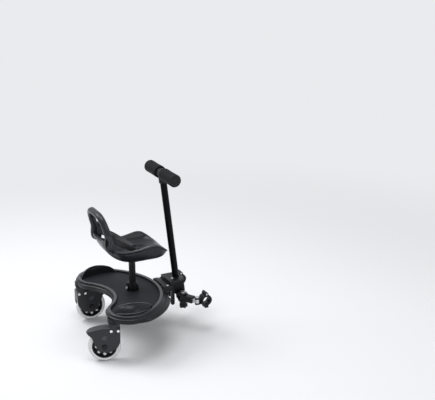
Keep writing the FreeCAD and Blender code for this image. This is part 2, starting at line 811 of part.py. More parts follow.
def make_bar():
    tube = rod(bar_r, bar - X * grip_end, bar + X * grip_end)
    return tube.cut(rod(bar_r - bar_wall, bar - X * handle_half_w, bar + X * handle_half_w))


def make_grip(side):
    grip = rod(grip_r, bar + X * tee_half, bar + X * grip_end)
    grip = bevelled(grip, grip_round, lambda e: abs(e.CenterOfMass.x - tee_half) < pin_gap)
    grip = grip.cut(rod(bar_r, bar, bar + X * handle_half_w))
    return grip if side > 0 else mirrored(grip)


def make_cap(side):
    cap = rod(grip_r, bar + X * grip_end, bar + X * handle_half_w)
    cap = bevelled(cap, cap_round, lambda e: abs(e.CenterOfMass.x - handle_half_w) < pin_gap)
    return cap if side > 0 else mirrored(cap)


# Yoke in front of the block, with the hinge pin
cheek_in = block_half_w + cheek_gap
cheek_out = cheek_in + cheek_t
yoke_low_z = hinge_z - cheek_h / 2
yoke_top_z = hinge_z + cheek_h / 2
yoke_front_y = hinge_y + yoke_bar_front
arm_pivot = V(arm_pivot_x, arm_pivot_y, 0)


def make_ears():
    """Two plates on one cheek that hold an arm's pivot bolt."""
    ears = []
    for z in (yoke_low_z, yoke_top_z - ear_t):
        plate = box(cheek_out, arm_pivot_x, arm_pivot_y - ear_r, arm_pivot_y + ear_r, z, z + ear_t)
        ears.append(plate.fuse(rod(ear_r, arm_pivot + Z * z, arm_pivot + Z * (z + ear_t))))
    ears = ears[0].fuse(ears[1])
    return ears.cut(rod(pivot_r, arm_pivot, arm_pivot + Z * (yoke_top_z + overrun)))


def make_yoke():
    half = cheek_h / 2
    bar_top = yoke_low_z + yoke_bar_h
    edges = [arc(V(0, hinge_y, yoke_low_z), V(0, hinge_y - half, hinge_z), V(0, hinge_y, yoke_top_z)),
             Part.makeLine(V(0, hinge_y, yoke_top_z), V(0, hinge_y + ear_r, yoke_top_z)),
             Part.makeLine(V(0, hinge_y + ear_r, yoke_top_z), V(0, yoke_front_y, bar_top)),
             Part.makeLine(V(0, yoke_front_y, bar_top), V(0, yoke_front_y, yoke_low_z)),
             Part.makeLine(V(0, yoke_front_y, yoke_low_z), V(0, hinge_y, yoke_low_z))]
    yoke = side_prism(edges, cheek_out)
    yoke = yoke.cut(box(-cheek_in, cheek_in, 0, yoke_front_y - yoke_bar_w, 0, yoke_top_z + overrun))
    yoke = yoke.cut(box(-cheek_in, cheek_in, 0, yoke_front_y + overrun, bar_top, yoke_top_z + overrun))
    ears = make_ears()
    yoke = yoke.fuse(ears).fuse(mirrored(ears))
    across = cheek_out + overrun
    return yoke.cut(rod(hinge_r, hinge - X * across, hinge + X * across)).removeSplitter()


def make_hinge_pin():
    pin = rod(hinge_r, hinge - X * cheek_out, hinge + X * cheek_out)
    for side in (-1, 1):
        start = hinge + X * (side * cheek_out)
        pin = pin.fuse(rod(hinge_head_r, start, start + X * (side * hinge_head_t)))
    return pin.removeSplitter()


def make_pivot_bolt(side):
    top = arm_pivot + Z * yoke_top_z
    foot = arm_pivot + Z * (yoke_low_z - knob_h + pivot_head_t)
    bolt = rod(pivot_r, foot, top).fuse(rod(pivot_head_r, top, top + Z * pivot_head_t)).removeSplitter()
    return bolt if side > 0 else mirrored(bolt)


def make_knob(side):
    """Lobed knob under the ear, which locks the arm's angle."""
    top_z = yoke_low_z - slide_gap
    foot_z = yoke_low_z - knob_h
    knob = rod(knob_r - knob_lobe_r, arm_pivot + Z * foot_z, arm_pivot + Z * top_z)
    ring_r = knob_r - knob_lobe_r
    for index in range(knob_lobes):
        angle = 2 * math.pi * index / knob_lobes
        place = arm_pivot + V(ring_r * math.cos(angle), ring_r * math.sin(angle), 0)
        knob = knob.fuse(rod(knob_lobe_r, place + Z * foot_z, place + Z * (top_z - knob_h / 3)))
    knob = knob.cut(rod(pivot_r + pin_gap, arm_pivot + Z * (foot_z + pivot_head_t - slide_gap), arm_pivot + Z * yoke_low_z))
    knob = knob.removeSplitter()
    return knob if side > 0 else mirrored(knob)


# Arms, drawn for the right side and mirrored
clamp_pivot = V(clamp_x, axle_y - clamp_reach, 0)
arm_line = clamp_pivot - arm_pivot
arm_len = arm_line.Length
arm_turn = math.degrees(math.atan2(arm_line.y, arm_line.x))
arm_h = cheek_h - 2 * ear_t - 2 * slide_gap


def along_arm(shape):
    """Set a piece drawn along x from the pivot onto the arm's line."""
    shape.rotate(V(0, 0, 0), Z, arm_turn)
    shape.translate(V(arm_pivot_x, arm_pivot_y, axle_z))
    return shape


def make_sleeve(side):
    """Outer arm: pivot eye and a box sleeve for the slide."""
    eye = rod(arm_w / 2, V(0, 0, -arm_h / 2), V(0, 0, arm_h / 2))
    end = arm_len * sleeve_share
    sleeve = eye.fuse(box(0, end, -arm_w / 2, arm_w / 2, -arm_h / 2, arm_h / 2))
    room_w = slide_w / 2 + slide_gap
    room_h = slide_h / 2 + slide_gap
    sleeve = sleeve.cut(box(slide_in - slide_gap, end + overrun, -room_w, room_w, -room_h, room_h))
    sleeve = sleeve.cut(rod(pivot_r + pin_gap, V(0, 0, -arm_h), V(0, 0, arm_h)))
    sleeve = along_arm(sleeve.removeSplitter())
    return sleeve if side > 0 else mirrored(sleeve)


def make_slide(side):
    """Inner arm: a bar with the clamp's eye on its end."""
    half_h = slide_h / 2
    slide = box(slide_in, arm_len, -slide_w / 2, slide_w / 2, -half_h, half_h)
    slide = slide.fuse(rod(slide_end_r, V(arm_len, 0, -half_h), V(arm_len, 0, half_h)))
    slide = slide.cut(rod(clamp_bolt_r + pin_gap, V(arm_len, 0, -slide_h), V(arm_len, 0, slide_h)))
    slide = along_arm(slide.removeSplitter())
    return slide if side > 0 else mirrored(slide)


# Axle clamp: a rear half on the arm and a front jaw on a pin
clamp_out_r = axle_r + clamp_wall
clamp_pin_z = axle_z + clamp_out_r + clamp_eye_r / 2
clamp_x0 = clamp_x - clamp_w / 2
clamp_x1 = clamp_x + clamp_w / 2
knuckle_w = clamp_w / 3


def clamp_rod(radius, x0, x1, z):
    return rod(radius, V(x0, axle_y, z), V(x1, axle_y, z))


def clamp_ring():
    """Ring round the axle with a lip below."""
    lip_z = axle_z - clamp_out_r - clamp_lip
    body = clamp_rod(clamp_out_r, clamp_x0, clamp_x1, axle_z)
    body = body.fuse(box(clamp_x0, clamp_x1, axle_y - clamp_wall, axle_y + clamp_wall, lip_z, axle_z))
    return body.cut(clamp_rod(axle_r, clamp_x0 - overrun, clamp_x1 + overrun, axle_z))


def clamp_half(front):
    """One side of the ring, without the split."""
    reach = clamp_out_r + clamp_lip
    y0 = axle_y + clamp_split / 2 if front else axle_y - reach
    y1 = axle_y + reach if front else axle_y - clamp_split / 2
    return clamp_ring().common(box(clamp_x0, clamp_x1, y0, y1, axle_z - reach, axle_z + reach))


def make_clamp(side):
    """Rear half with two lugs on the slide's eye and two hinge knuckles."""
    clamp = clamp_half(False)
    near = clamp_x0 + knuckle_w
    far = clamp_x1 - knuckle_w
    clamp = clamp.fuse(clamp_rod(clamp_eye_r, clamp_x0, near - slide_gap, clamp_pin_z))
    clamp = clamp.fuse(clamp_rod(clamp_eye_r, far + slide_gap, clamp_x1, clamp_pin_z))
    clamp = clamp.cut(clamp_rod(clamp_eye_r + run_gap, near - slide_gap, far + slide_gap, clamp_pin_z))
    gap_h = slide_h / 2 + slide_gap
    back = axle_y - axle_r - clamp_wall / 2
    for z in (axle_z + gap_h, axle_z - gap_h - clamp_lug_t):
        lug = rod(slide_end_r, clamp_pivot + Z * z, clamp_pivot + Z * (z + clamp_lug_t))
        web = box(clamp_x - slide_end_r, clamp_x + slide_end_r, clamp_pivot.y, back, z, z + clamp_lug_t)
        clamp = clamp.fuse(lug).fuse(web)
    clamp = clamp.cut(clamp_rod(axle_r, clamp_x0 - overrun, clamp_x1 + overrun, axle_z))
    clamp = clamp.cut(rod(clamp_bolt_r, clamp_pivot, clamp_pivot + Z * (axle_z * 2)))
    clamp = clamp.cut(clamp_rod(clamp_pin_r, clamp_x0 - overrun, clamp_x1 + overrun, clamp_pin_z)).removeSplitter()
    return clamp if side > 0 else mirrored(clamp)


def make_jaw(side):
    """Front jaw, which swings up on its pin."""
    near = clamp_x0 + knuckle_w
    far = clamp_x1 - knuckle_w
    jaw = clamp_half(True)
    jaw = jaw.cut(clamp_rod(clamp_eye_r + run_gap, clamp_x0 - overrun, near, clamp_pin_z))
    jaw = jaw.cut(clamp_rod(clamp_eye_r + run_gap, far, clamp_x1 + overrun, clamp_pin_z))
    jaw = jaw.fuse(clamp_rod(clamp_eye_r, near, far, clamp_pin_z))
    jaw = jaw.cut(clamp_rod(clamp_pin_r + pin_gap, clamp_x0 - overrun, clamp_x1 + overrun, clamp_pin_z))
    jaw = jaw.removeSplitter()
    return jaw if side > 0 else mirrored(jaw)


def make_jaw_pin(side):
    pin = clamp_rod(clamp_pin_r, clamp_x0, clamp_x1, clamp_pin_z)
    return pin if side > 0 else mirrored(pin)


def make_clamp_bolt(side):
    reach = slide_h / 2 + slide_gap + clamp_lug_t
    low = clamp_pivot + Z * (axle_z - reach)
    high = clamp_pivot + Z * (axle_z + reach)
    bolt = rod(clamp_bolt_r, low, high)
    bolt = bolt.fuse(rod(clamp_head_r, high, high + Z * clamp_head_t))
    bolt = bolt.fuse(rod(clamp_head_r, low - Z * clamp_head_t, low)).removeSplitter()
    return bolt if side > 0 else mirrored(bolt)


def make_bush(side):
    bush = bush_rod(side)
    return bush.cut(rod(stem_r + pin_gap, V(side * swivel_x, 0, 0), V(side * swivel_x, 0, bead_z)))


def all_nodes():
    """Every piece of the board by name."""
    nodes = {
        "deck_shell": make_deck(), "cross_plate": make_cross_plate(), "cross_plate_screws": make_plate_screws(),
        "hitch_block": make_block(), "height_screws": make_height_screws(),
        "handle_button": make_block_button(), "post_collar": make_collar(),
        "collar_button": make_collar_button(), "seat_post": make_post(), "seat_shell": make_seat(),
        "backrest_hoop": make_hoop(), "handle_pole": make_pole(), "handle_tee": make_tee(),
        "handle_bar": make_bar(), "yoke": make_yoke(), "hinge_pin": make_hinge_pin(),
        "buckle_socket": make_buckle(1), "buckle_plug": make_buckle(-1)}
    for side, name in ((-1, "left"), (1, "right")):
        nodes["swivel_bush_" + name] = make_bush(side)
        nodes["caster_fork_" + name] = place_caster(make_fork(), side)
        nodes["swivel_stem_" + name] = place_caster(make_stem(), side)
        nodes["caster_axle_" + name] = place_caster(make_axle(), side)
        nodes["caster_screws_" + name] = place_caster(make_side_screws(), side)
        nodes["tyre_" + name] = place_caster(make_tyre(), side)
        nodes["wheel_hub_" + name] = place_caster(make_hub(), side)
        nodes["wheel_bearings_" + name] = place_caster(make_bearings(), side)
        nodes["belt_clip_" + name] = make_clip(side)
        nodes["belt_web_" + name] = make_web(side)
        nodes["grip_" + name] = make_grip(side)
        nodes["grip_cap_" + name] = make_cap(side)
        nodes["arm_bolt_" + name] = make_pivot_bolt(side)
        nodes["arm_knob_" + name] = make_knob(side)
        nodes["arm_sleeve_" + name] = make_sleeve(side)
        nodes["arm_slide_" + name] = make_slide(side)
        nodes["clamp_bolt_" + name] = make_clamp_bolt(side)
        nodes["clamp_body_" + name] = make_clamp(side)
        nodes["clamp_jaw_" + name] = make_jaw(side)
        nodes["jaw_pin_" + name] = make_jaw_pin(side)
    return nodes


os.makedirs("parts", exist_ok=True)
for node, solid in all_nodes().items():
    solid.translate(V(0, -axle_y, -axle_z))
    solid.exportStep(os.path.join("parts", node + ".step"))
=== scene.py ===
import json
from math import atan2, copysign, cos, degrees, exp, pi, radians, sin, tan
from functools import cache, partial

import bmesh
import bpy
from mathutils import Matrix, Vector


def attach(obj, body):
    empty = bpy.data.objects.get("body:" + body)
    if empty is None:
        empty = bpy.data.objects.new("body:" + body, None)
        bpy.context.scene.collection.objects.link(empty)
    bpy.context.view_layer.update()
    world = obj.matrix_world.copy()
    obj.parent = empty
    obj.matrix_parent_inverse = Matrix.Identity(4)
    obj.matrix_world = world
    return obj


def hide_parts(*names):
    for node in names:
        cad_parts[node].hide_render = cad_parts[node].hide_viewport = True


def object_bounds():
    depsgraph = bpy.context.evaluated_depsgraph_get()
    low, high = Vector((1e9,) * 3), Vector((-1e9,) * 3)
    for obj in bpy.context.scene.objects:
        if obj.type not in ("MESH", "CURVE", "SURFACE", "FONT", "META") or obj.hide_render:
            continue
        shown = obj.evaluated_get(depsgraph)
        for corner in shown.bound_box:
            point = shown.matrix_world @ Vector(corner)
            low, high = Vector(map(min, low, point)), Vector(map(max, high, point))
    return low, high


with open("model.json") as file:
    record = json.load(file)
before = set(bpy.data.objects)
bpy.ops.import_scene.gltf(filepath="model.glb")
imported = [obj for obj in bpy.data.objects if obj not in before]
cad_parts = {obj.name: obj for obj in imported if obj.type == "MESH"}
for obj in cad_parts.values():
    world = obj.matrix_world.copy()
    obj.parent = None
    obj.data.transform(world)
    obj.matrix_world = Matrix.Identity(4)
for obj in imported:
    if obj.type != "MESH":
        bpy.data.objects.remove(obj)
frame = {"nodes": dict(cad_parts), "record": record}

bl_info = {
    "name": "Buggy board dressing",
    "version": (1, 0, 0),
    "blender": (4, 5, 0),
    "location": "3D View > Sidebar > Board",
    "description": "Finishes and fine pieces of a ride-on board with a saddle and a tee handle",
    "category": "Object",
}

CAD_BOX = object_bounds()
MM = 0.001
AXLE = Vector((0.0, 337.0, 112.0))
RIGHT, UP = Vector((1, 0, 0)), Vector((0, 0, 1))
SIDES = (("left", -1), ("right", 1))

# Kinds of setting
COLOUR = partial(bpy.props.FloatVectorProperty, subtype="COLOR", size=3, min=0, max=1)
POWER = partial(bpy.props.FloatProperty, unit="POWER", min=0)
ANGLE = partial(bpy.props.FloatProperty, subtype="ANGLE")


class BoardFinish(bpy.types.PropertyGroup):
    """Colours and surface finishes."""
    deck_colour: COLOUR(
        name="Deck colour", description="Moulded deck and foot guards", default=(0.0185, 0.0190, 0.0235))
    # The rim colour is a darker copy of the deck plastic: painted shade on the bead, skirt, guard faces and
    # housings, which also have a smoother finish of their own
    rim_colour: COLOUR(
        name="Rim colour", description="Smooth bead and skirt of the deck", default=(0.0085, 0.0088, 0.0110))
    seat_colour: COLOUR(
        name="Seat colour", description="Moulded saddle and hoop", default=(0.0115, 0.0120, 0.0155))
    fork_colour: COLOUR(
        name="Fork colour", description="Moulded caster forks", default=(0.0130, 0.0135, 0.0170))
    black_colour: COLOUR(
        name="Black parts", description="Hitch, collar, knobs and clamps", default=(0.0055, 0.0057, 0.0070))
    grip_colour: COLOUR(
        name="Grip colour", description="Foam rubber grips", default=(0.0050, 0.0052, 0.0062))
    tyre_colour: COLOUR(
        name="Tyre colour", description="Frosted clear tyres", default=(0.96, 0.965, 0.98))
    steel_colour: COLOUR(
        name="Steel colour", description="Plated steel pieces", default=(0.62, 0.63, 0.65))
    web_colour: COLOUR(
        name="Webbing colour", description="Waist belt", default=(0.012, 0.012, 0.015))
    grain_size: bpy.props.FloatProperty(
        name="Grain size", description="Pitch of the moulded grain", unit="LENGTH",
        min=0.0003, default=0.0012)


class BoardStage(bpy.types.PropertyGroup):
    """Camera and light."""
    lens: bpy.props.FloatProperty(
        name="Lens", description="Focal length in millimetres on a 36 mm sensor", min=10, default=73.0)
    eye: bpy.props.FloatVectorProperty(
        name="Camera place", description="Camera position", subtype="TRANSLATION", unit="LENGTH", size=3,
        default=(2.483, -1.160, 1.181))
    azimuth: ANGLE(name="Azimuth", description="Camera bearing, 0 looks forward and 90 looks to the left",
                   default=radians(63.17))
    tilt: ANGLE(name="Tilt", description="Camera tilt below the horizon", default=radians(17.61))
    key_power: POWER(name="Key light", description="Power of the large soft light", default=50.0)
    top_power: POWER(name="Top light", description="Power of the soft light overhead", default=22.0)
    fill_power: POWER(name="Fill light", description="Power of the fill light", default=20.0)
    back_colour: COLOUR(name="Backdrop", description="Floor and backdrop", default=(0.82, 0.83, 0.85))
    sky_strength: bpy.props.FloatProperty(
        name="Sky", description="Strength of the even surrounding light", min=0, default=0.48)


def at(x, y, z):
    """A point of the board's drawing, in millimetres, as a point of the scene."""
    return (Vector((x, y, z)) - AXLE) * MM


def drawn(co):
    """A scene point in the drawing's millimetres."""
    home = at(0, 0, 0)
    return (co.x - home.x) / MM, (co.y - home.y) / MM, (co.z - home.z) / MM


# Nodes
def fed(node, inputs):
    """A node with its inputs linked to the outputs of others, or set to values."""
    for key, value in inputs.items():
        if isinstance(value, bpy.types.NodeSocket):
            node.id_data.links.new(value, node.inputs[key])
        else:
            node.inputs[key].default_value = value
    return node


def new_node(tree, kind, inputs=None, **settings):
    """A new node of a tree, with its settings made before its inputs are fed."""
    node = tree.nodes.new(kind)
    for key, value in settings.items():
        setattr(node, key, value)
    return fed(node, inputs or {})


def maths(operation, *values):
    """Result of a calculation, in the tree of its first value."""
    node = new_node(values[0].id_data, "ShaderNodeMath", dict(enumerate(values)), operation=operation)
    return node.outputs["Value"]


# Materials
BUTTON_COLOUR, WINDOW_COLOUR, SCREW_COLOUR = (0.5, 0.51, 0.53), (0.9, 0.9, 0.91), (0.85, 0.85, 0.87)
# How much lighter the painted highlight is than the rim colour, and how much darker the tube is than the
# black parts
PAINTED_HIGHLIGHT_GAIN, POLE_DARK = 3.2, 0.6
# Painted shade where a tyre or window turns away from the camera: the blend of its fall-off and how dark it
# gets
EDGE_BLEND, EDGE_SHADE = 0.22, 0.25
RIB_PITCH, WARP_LINES = 0.0016, 9
MATERIALS = {}


def to_shader(tree, inputs):
    """Feed the shader of a material."""
    fed(tree.nodes["Principled BSDF"], inputs)


def new_material(name, values, place="Object"):
    """A material with values set on its shader, and the place that its textures are read at."""
    mat = bpy.data.materials.new(name)
    mat.use_nodes = True
    to_shader(mat.node_tree, values)
    return mat, new_node(mat.node_tree, "ShaderNodeTexCoord").outputs[place]


def shade(colour, amount):
    """A colour made lighter or darker, with full cover."""
    return (*(min(1.0, c * amount) for c in tuple(colour)[:3]), 1.0)


def noise(place, scale, detail, roughness=0.5):
    """Soft noise over a piece."""
    node = new_node(place.id_data, "ShaderNodeTexNoise",
                    {"Vector": place, "Scale": scale, "Detail": detail, "Roughness": roughness})
    return node.outputs["Fac"]


def cells(place, scale):
    """Distance from the middles of scattered cells."""
    node = new_node(place.id_data, "ShaderNodeTexVoronoi", {"Vector": place, "Scale": scale})
    return node.outputs["Distance"]


def ranged(value, limits):
    """A value mapped from one range to another."""
    return new_node(value.id_data, "ShaderNodeMapRange", {"Value": value, **limits}).outputs["Result"]


def tint(share, low, high):
    """Blend two colours by a share and feed the result to the shader."""
    node = new_node(share.id_data, "ShaderNodeMix", {"Factor": share, "A": low, "B": high}, data_type="RGBA")
    colour = next(s for s in node.outputs if s.type == "RGBA")
    to_shader(share.id_data, {"Base Color": colour})
    return colour


def roughen(share, low, high):
    """Vary the shader's roughness by a share."""
    to_shader(share.id_data, {"Roughness": ranged(share, {"To Min": low, "To Max": high})})


def emboss(height, strength, distance):
    """Feed fine relief to the shader."""
    bump = new_node(height.id_data, "ShaderNodeBump",
                    {"Height": height, "Strength": strength, "Distance": distance})
    to_shader(height.id_data, {"Normal": bump.outputs["Normal"]})


def moulded_plastic(name, colour, roughness, grain, bump, edge_highlight, gloss):
    """Moulded plastic: fine grain, faint cloudiness and lighter edges, a painted highlight where edges catch
    the light.
    """
    mat, place = new_material(name, {"Specular IOR Level": gloss})
    fine = noise(place, scale=1 / grain, detail=4.0, roughness=0.6)
    cloudy = tint(noise(place, scale=9.0, detail=3.0), shade(colour, 0.9), shade(colour, 1.12))
    # Convex edges and crests are lightened: a painted highlight
    edge = new_node(mat.node_tree, "ShaderNodeNewGeometry").outputs["Pointiness"]
    tint(ranged(edge, {"From Min": 0.52, "From Max": 0.62}), cloudy, shade(colour, edge_highlight))
    roughen(fine, roughness - 0.07, roughness + 0.09)
    emboss(maths("ADD", fine, cells(place, scale=0.55 / grain)), bump, distance=grain * 0.25)
    return mat


def plated_steel(name, colour, roughness):
    """Plated steel with fine turning marks."""
    mat, place = new_material(name, {"Metallic": 1.0})
    marks = noise(place, scale=900.0, detail=3.0)
    tint(noise(place, scale=60.0, detail=2.0), shade(colour, 0.88), shade(colour, 1.08))
    roughen(marks, roughness - 0.06, roughness + 0.1)
    emboss(marks, strength=0.05, distance=0.0002)
    return mat


def powder_coat(name, colour):
    """Black powder coat on tube, with a faint orange peel."""
    mat, place = new_material(name, {"Roughness": 0.36, "Specular IOR Level": 0.08})
    tint(noise(place, scale=25.0, detail=2.0), shade(colour, 0.85), shade(colour, 1.2))
    emboss(noise(place, scale=420.0, detail=2.0), strength=0.12, distance=0.0004)
    return mat


def foam_rubber(name, colour):
    """Closed-cell foam grip: open pores and a dry skin."""
    mat, place = new_material(name, {"Roughness": 0.62, "Specular IOR Level": 0.09})
    soft = noise(place, scale=180.0, detail=3.0)
    tint(soft, shade(colour, 0.8), shade(colour, 1.5))
    emboss(maths("ADD", cells(place, scale=700.0), soft), strength=0.3, distance=0.0006)
    return mat


def frosted_clear(name, colour):
    """Frosted clear tyre compound, a little cloudy inside, with painted shade where its surface turns away
    from the camera.
    """
    mat, place = new_material(name, {"Transmission Weight": 0.2, "IOR": 1.46})
    scuff = noise(place, scale=600.0, detail=3.0)
    cloudy = tint(noise(place, scale=45.0, detail=3.0), shade(colour, 0.9), shade(colour, 1.04))
    # Painted shade towards the outline
    edge = new_node(mat.node_tree, "ShaderNodeLayerWeight", {"Blend": EDGE_BLEND})
    tint(edge.outputs["Facing"], cloudy, shade(colour, EDGE_SHADE))
    roughen(scuff, 0.12, 0.24)
    emboss(scuff, strength=0.08, distance=0.0003)
    return mat


def woven_webbing(name, colour, width):
    """Webbing read along its own map: cross ribs and warp lines."""
    mat, place = new_material(name, {"Roughness": 0.7, "Sheen Weight": 0.25}, "UV")
    along = new_node(mat.node_tree, "ShaderNodeSeparateXYZ", {"Vector": place}).outputs
    ribs = maths("SINE", maths("MULTIPLY", along["X"], 2 * pi / RIB_PITCH))
    warp = maths("SINE", maths("MULTIPLY", along["Y"], 2 * pi / (width / WARP_LINES)))
    weave = ranged(maths("MULTIPLY", ribs, warp), {"From Min": -1.0})
    tint(weave, shade(colour, 0.6), shade(colour, 1.8))
    emboss(weave, strength=0.5, distance=0.0005)
    return mat


class BOARD_OT_finishes(bpy.types.Operator):
    """Make the finishes that the pieces share."""
    bl_idname = "board.finishes"
    bl_label = "Make finishes"

    def execute(self, context):
        f = context.scene.board_finish
        for key, name, colour, roughness, grain, bump, edge_highlight, gloss in (
                ("deck", "charcoal_deck", f.deck_colour, 0.58, 1.0, 0.25, 1.5, 0.12),
                # rim: its own smoother finish, and a darker colour that is painted shade
                ("rim", "smooth_rim", f.rim_colour, 0.32, 1.0, 0.05, 2.2, 0.2),
                # painted highlight: a lighter, glossier copy of the rim plastic, for bead tops, seat lip,
                # guard lips, slot ribs and fork bosses
                ("crest", "burnished_bead", shade(f.rim_colour, PAINTED_HIGHLIGHT_GAIN), 0.26, 1.0, 0.04, 1.6, 0.6),
                ("seat", "charcoal_saddle", f.seat_colour, 0.3, 0.8, 0.1, 1.5, 0.33),
                ("fork", "dark_fork", f.fork_colour, 0.34, 0.8, 0.12, 1.5, 0.42),
                ("black", "black_moulding", f.black_colour, 0.4, 0.7, 0.16, 1.5, 0.26),
                ("button", "pale_button", BUTTON_COLOUR, 0.3, 0.5, 0.06, 1.1, 0.26)):
            MATERIALS[key] = moulded_plastic(name, colour, roughness, f.grain_size * grain, bump, edge_highlight, gloss)
        MATERIALS["grip"] = foam_rubber("foam_grip", f.grip_colour)
        MATERIALS["tyre"] = frosted_clear("frosted_tyre", f.tyre_colour)
        MATERIALS["lens"] = frosted_clear("window_white", WINDOW_COLOUR)
        MATERIALS["steel"] = plated_steel("plated_steel", f.steel_colour, 0.3)
        MATERIALS["bright"] = plated_steel("bright_screw", SCREW_COLOUR, 0.18)
        MATERIALS["pole"] = powder_coat("black_tube", shade(f.black_colour, POLE_DARK))
        MATERIALS["web"] = woven_webbing("belt_webbing", f.web_colour, WEB_W * MM)
        return {"FINISHED"}


class BOARD_OT_carried(bpy.types.Operator):
    """Finish every piece that keeps its own solid."""
    bl_idname = "board.carried"
    bl_label = "Finish carried pieces"

    def execute(self, context):
        by_slot = {"deck_plastic": "deck", "seat_plastic": "seat", "black_plastic": "black",
                   "fork_plastic": "fork", "button_plastic": "button", "clear_tyre": "tyre",
                   "grip_rubber": "grip", "pole_paint": "pole", "steel": "steel",
                   "bright_screw": "bright", "webbing": "web"}
        for part in frame["record"]["subparts"]:
            slots = frame["nodes"][part["node"]].data.materials
            slots.clear()
            slots.append(MATERIALS[by_slot[part["material_slot"]]])
        return {"FINISHED"}


# Shapes
SHARP_ANGLE = radians(38)


def new_object(name, data):
    """An object in the scene."""
    obj = bpy.data.objects.new(name, data)
    bpy.context.scene.collection.objects.link(obj)
    return obj


def ease(t):
    """Smooth step from 0 to 1."""
    t = max(0.0, min(1.0, t))
    return t * t * (3.0 - 2.0 * t)


def bell(x, form):
    """Smooth bump with a height, a middle and a spread."""
    height, middle, spread = form
    return height * exp(-((x - middle) / spread) ** 2)


def turn_angles(count):
    """Even steps of one full turn."""
    return [2 * pi * k / count for k in range(count)]


def piece(name, verts, faces, finish, body, replaced=()):
    """Make one smooth mesh from points in drawing millimetres, on a body of the frame."""
    mesh = bpy.data.meshes.new(name)
    mesh.from_pydata([at(*v) for v in verts], [], faces)
    mesh.validate()
    return placed(name, mesh, finish, body, replaced)


def placed(name, mesh, finish, body, replaced=()):
    """Show a mesh as a piece that rides on a body."""
    work = bmesh.new()
    work.from_mesh(mesh)
    bmesh.ops.recalc_face_normals(work, faces=work.faces)
    work.to_mesh(mesh)
    work.free()
    mesh.shade_smooth()
    mesh.set_sharp_from_angle(angle=SHARP_ANGLE)
    mesh.materials.clear()
    mesh.materials.append(MATERIALS[finish])
    obj = new_object(name, mesh)
    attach(obj, body)
    if replaced:
        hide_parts(*replaced)
    return obj


def skin(rings):
    """Points and faces of a surface through closed rings of equal length, capped at both ends."""
    count = len(rings[0])
    verts = [p for ring in rings for p in ring]
    faces = []
    for row in range(len(rings) - 1):
        for i in range(count):
            j = (i + 1) % count
            faces.append((row * count + i, row * count + j, (row + 1) * count + j, (row + 1) * count + i))
    last = (len(rings) - 1) * count
    faces.append(tuple(reversed(range(count))))
    faces.append(tuple(last + i for i in range(count)))
    return verts, faces


def joined(parts):
    """One list of points and faces from several."""
    verts, faces = [], []
    for more, sides in parts:
        base = len(verts)
        verts += more
        faces += [tuple(base + i for i in side) for side in sides]
    return verts, faces


def turned(profile, centre, axis, count):
    """Turned form: a profile of (radius, distance along the axis)."""
    axis = Vector(axis).normalized()
    side = axis.orthogonal().normalized()
    up = axis.cross(side)
    rings = []
    for radius, along in profile:
        middle = Vector(centre) + axis * along
        rings.append([middle + (side * cos(a) + up * sin(a)) * radius for a in turn_angles(count)])
    return skin(rings)


def bar_shape(corner, size, cut):
    """Box with its edges cut off, as rings from its foot up."""
    x, y, z = corner
    w, d, h = size
    flat = [(x + cut, y), (x + w - cut, y), (x + w, y + cut), (x + w, y + d - cut), (x + w - cut, y + d),
            (x + cut, y + d), (x, y + d - cut), (x, y + cut)]
    mid_x, mid_y = x + w / 2, y + d / 2
    small = [(mid_x + (a - mid_x) * (1 - 2 * cut / w), mid_y + (b - mid_y) * (1 - 2 * cut / d))
             for a, b in flat]
    return skin([[(a, b, z) for a, b in small], [(a, b, z + cut) for a, b in flat],
                 [(a, b, z + h - cut) for a, b in flat], [(a, b, z + h) for a, b in small]])


def blend_through(xs, ys, x):
    """Smooth value of a table at x."""
    if x <= xs[0]:
        return ys[0]
    if x >= xs[-1]:
        return ys[-1]
    slopes = [(d - c) / (b - a) for a, b, c, d in zip(xs, xs[1:], ys, ys[1:])]
    means = [0.0 if a * b <= 0 else 2 * a * b / (a + b) for a, b in zip(slopes, slopes[1:])]
    tangents = slopes[:1] + means + slopes[-1:]
    k = max(i for i in range(len(xs) - 1) if xs[i] <= x)
    span = xs[k + 1] - xs[k]
    t = (x - xs[k]) / span
    return ((1 + 2 * t) * (1 - t) ** 2 * ys[k] + t * (1 - t) ** 2 * span * tangents[k]
            + t * t * (3 - 2 * t) * ys[k + 1] - t * t * (1 - t) * span * tangents[k + 1])


def quarter_arc(x, y, radius, start, steps):
    """Points of a quarter circle from a start angle, with both ends."""
    angles = [start + pi / 2 * k / steps for k in range(steps + 1)]
    return [(x + radius * cos(a), y + radius * sin(a)) for a in angles]


# Saddle: for the outside and the scoop, shares of height, rear end, front end and half width
SEAT_FOOT, SEAT_H, SEAT_REAR, SEAT_LEN, SEAT_HALF = 252.5, 105.5, 6.1, 240.0, 76.0
OUTER = ((0.0, 0.055, 0.14, 0.30, 0.51, 0.75, 1.0), (0.46, 0.40, 0.28, 0.18, 0.10, 0.04, 0.0),
         (0.66, 0.86, 0.925, 0.96, 0.97, 0.97, 0.97), (0.26, 0.50, 0.69, 0.84, 0.93, 0.98, 1.0))
SCOOP = ((0.33, 0.40, 0.52, 0.75, 1.06), (0.36, 0.24, 0.12, 0.07, 0.03),
         (0.75, 0.89, 0.935, 0.94, 0.94), (0.42, 0.70, 0.84, 0.90, 0.93))
# Rim: shares of length and of height
RIM = ((-0.08, 0.065, 0.14, 0.25, 0.43, 0.60, 0.705, 0.80, 1.04),
       (0.90, 0.90, 0.68, 0.565, 0.555, 0.615, 0.655, 0.54, 0.06))
RIM_STEPS, RIM_SMOOTHINGS, SHARE_DIGITS = 240, 3, 4
CORNER_SHARE, LINE_STEPS, ARC_STEPS = 0.7, 14, 16
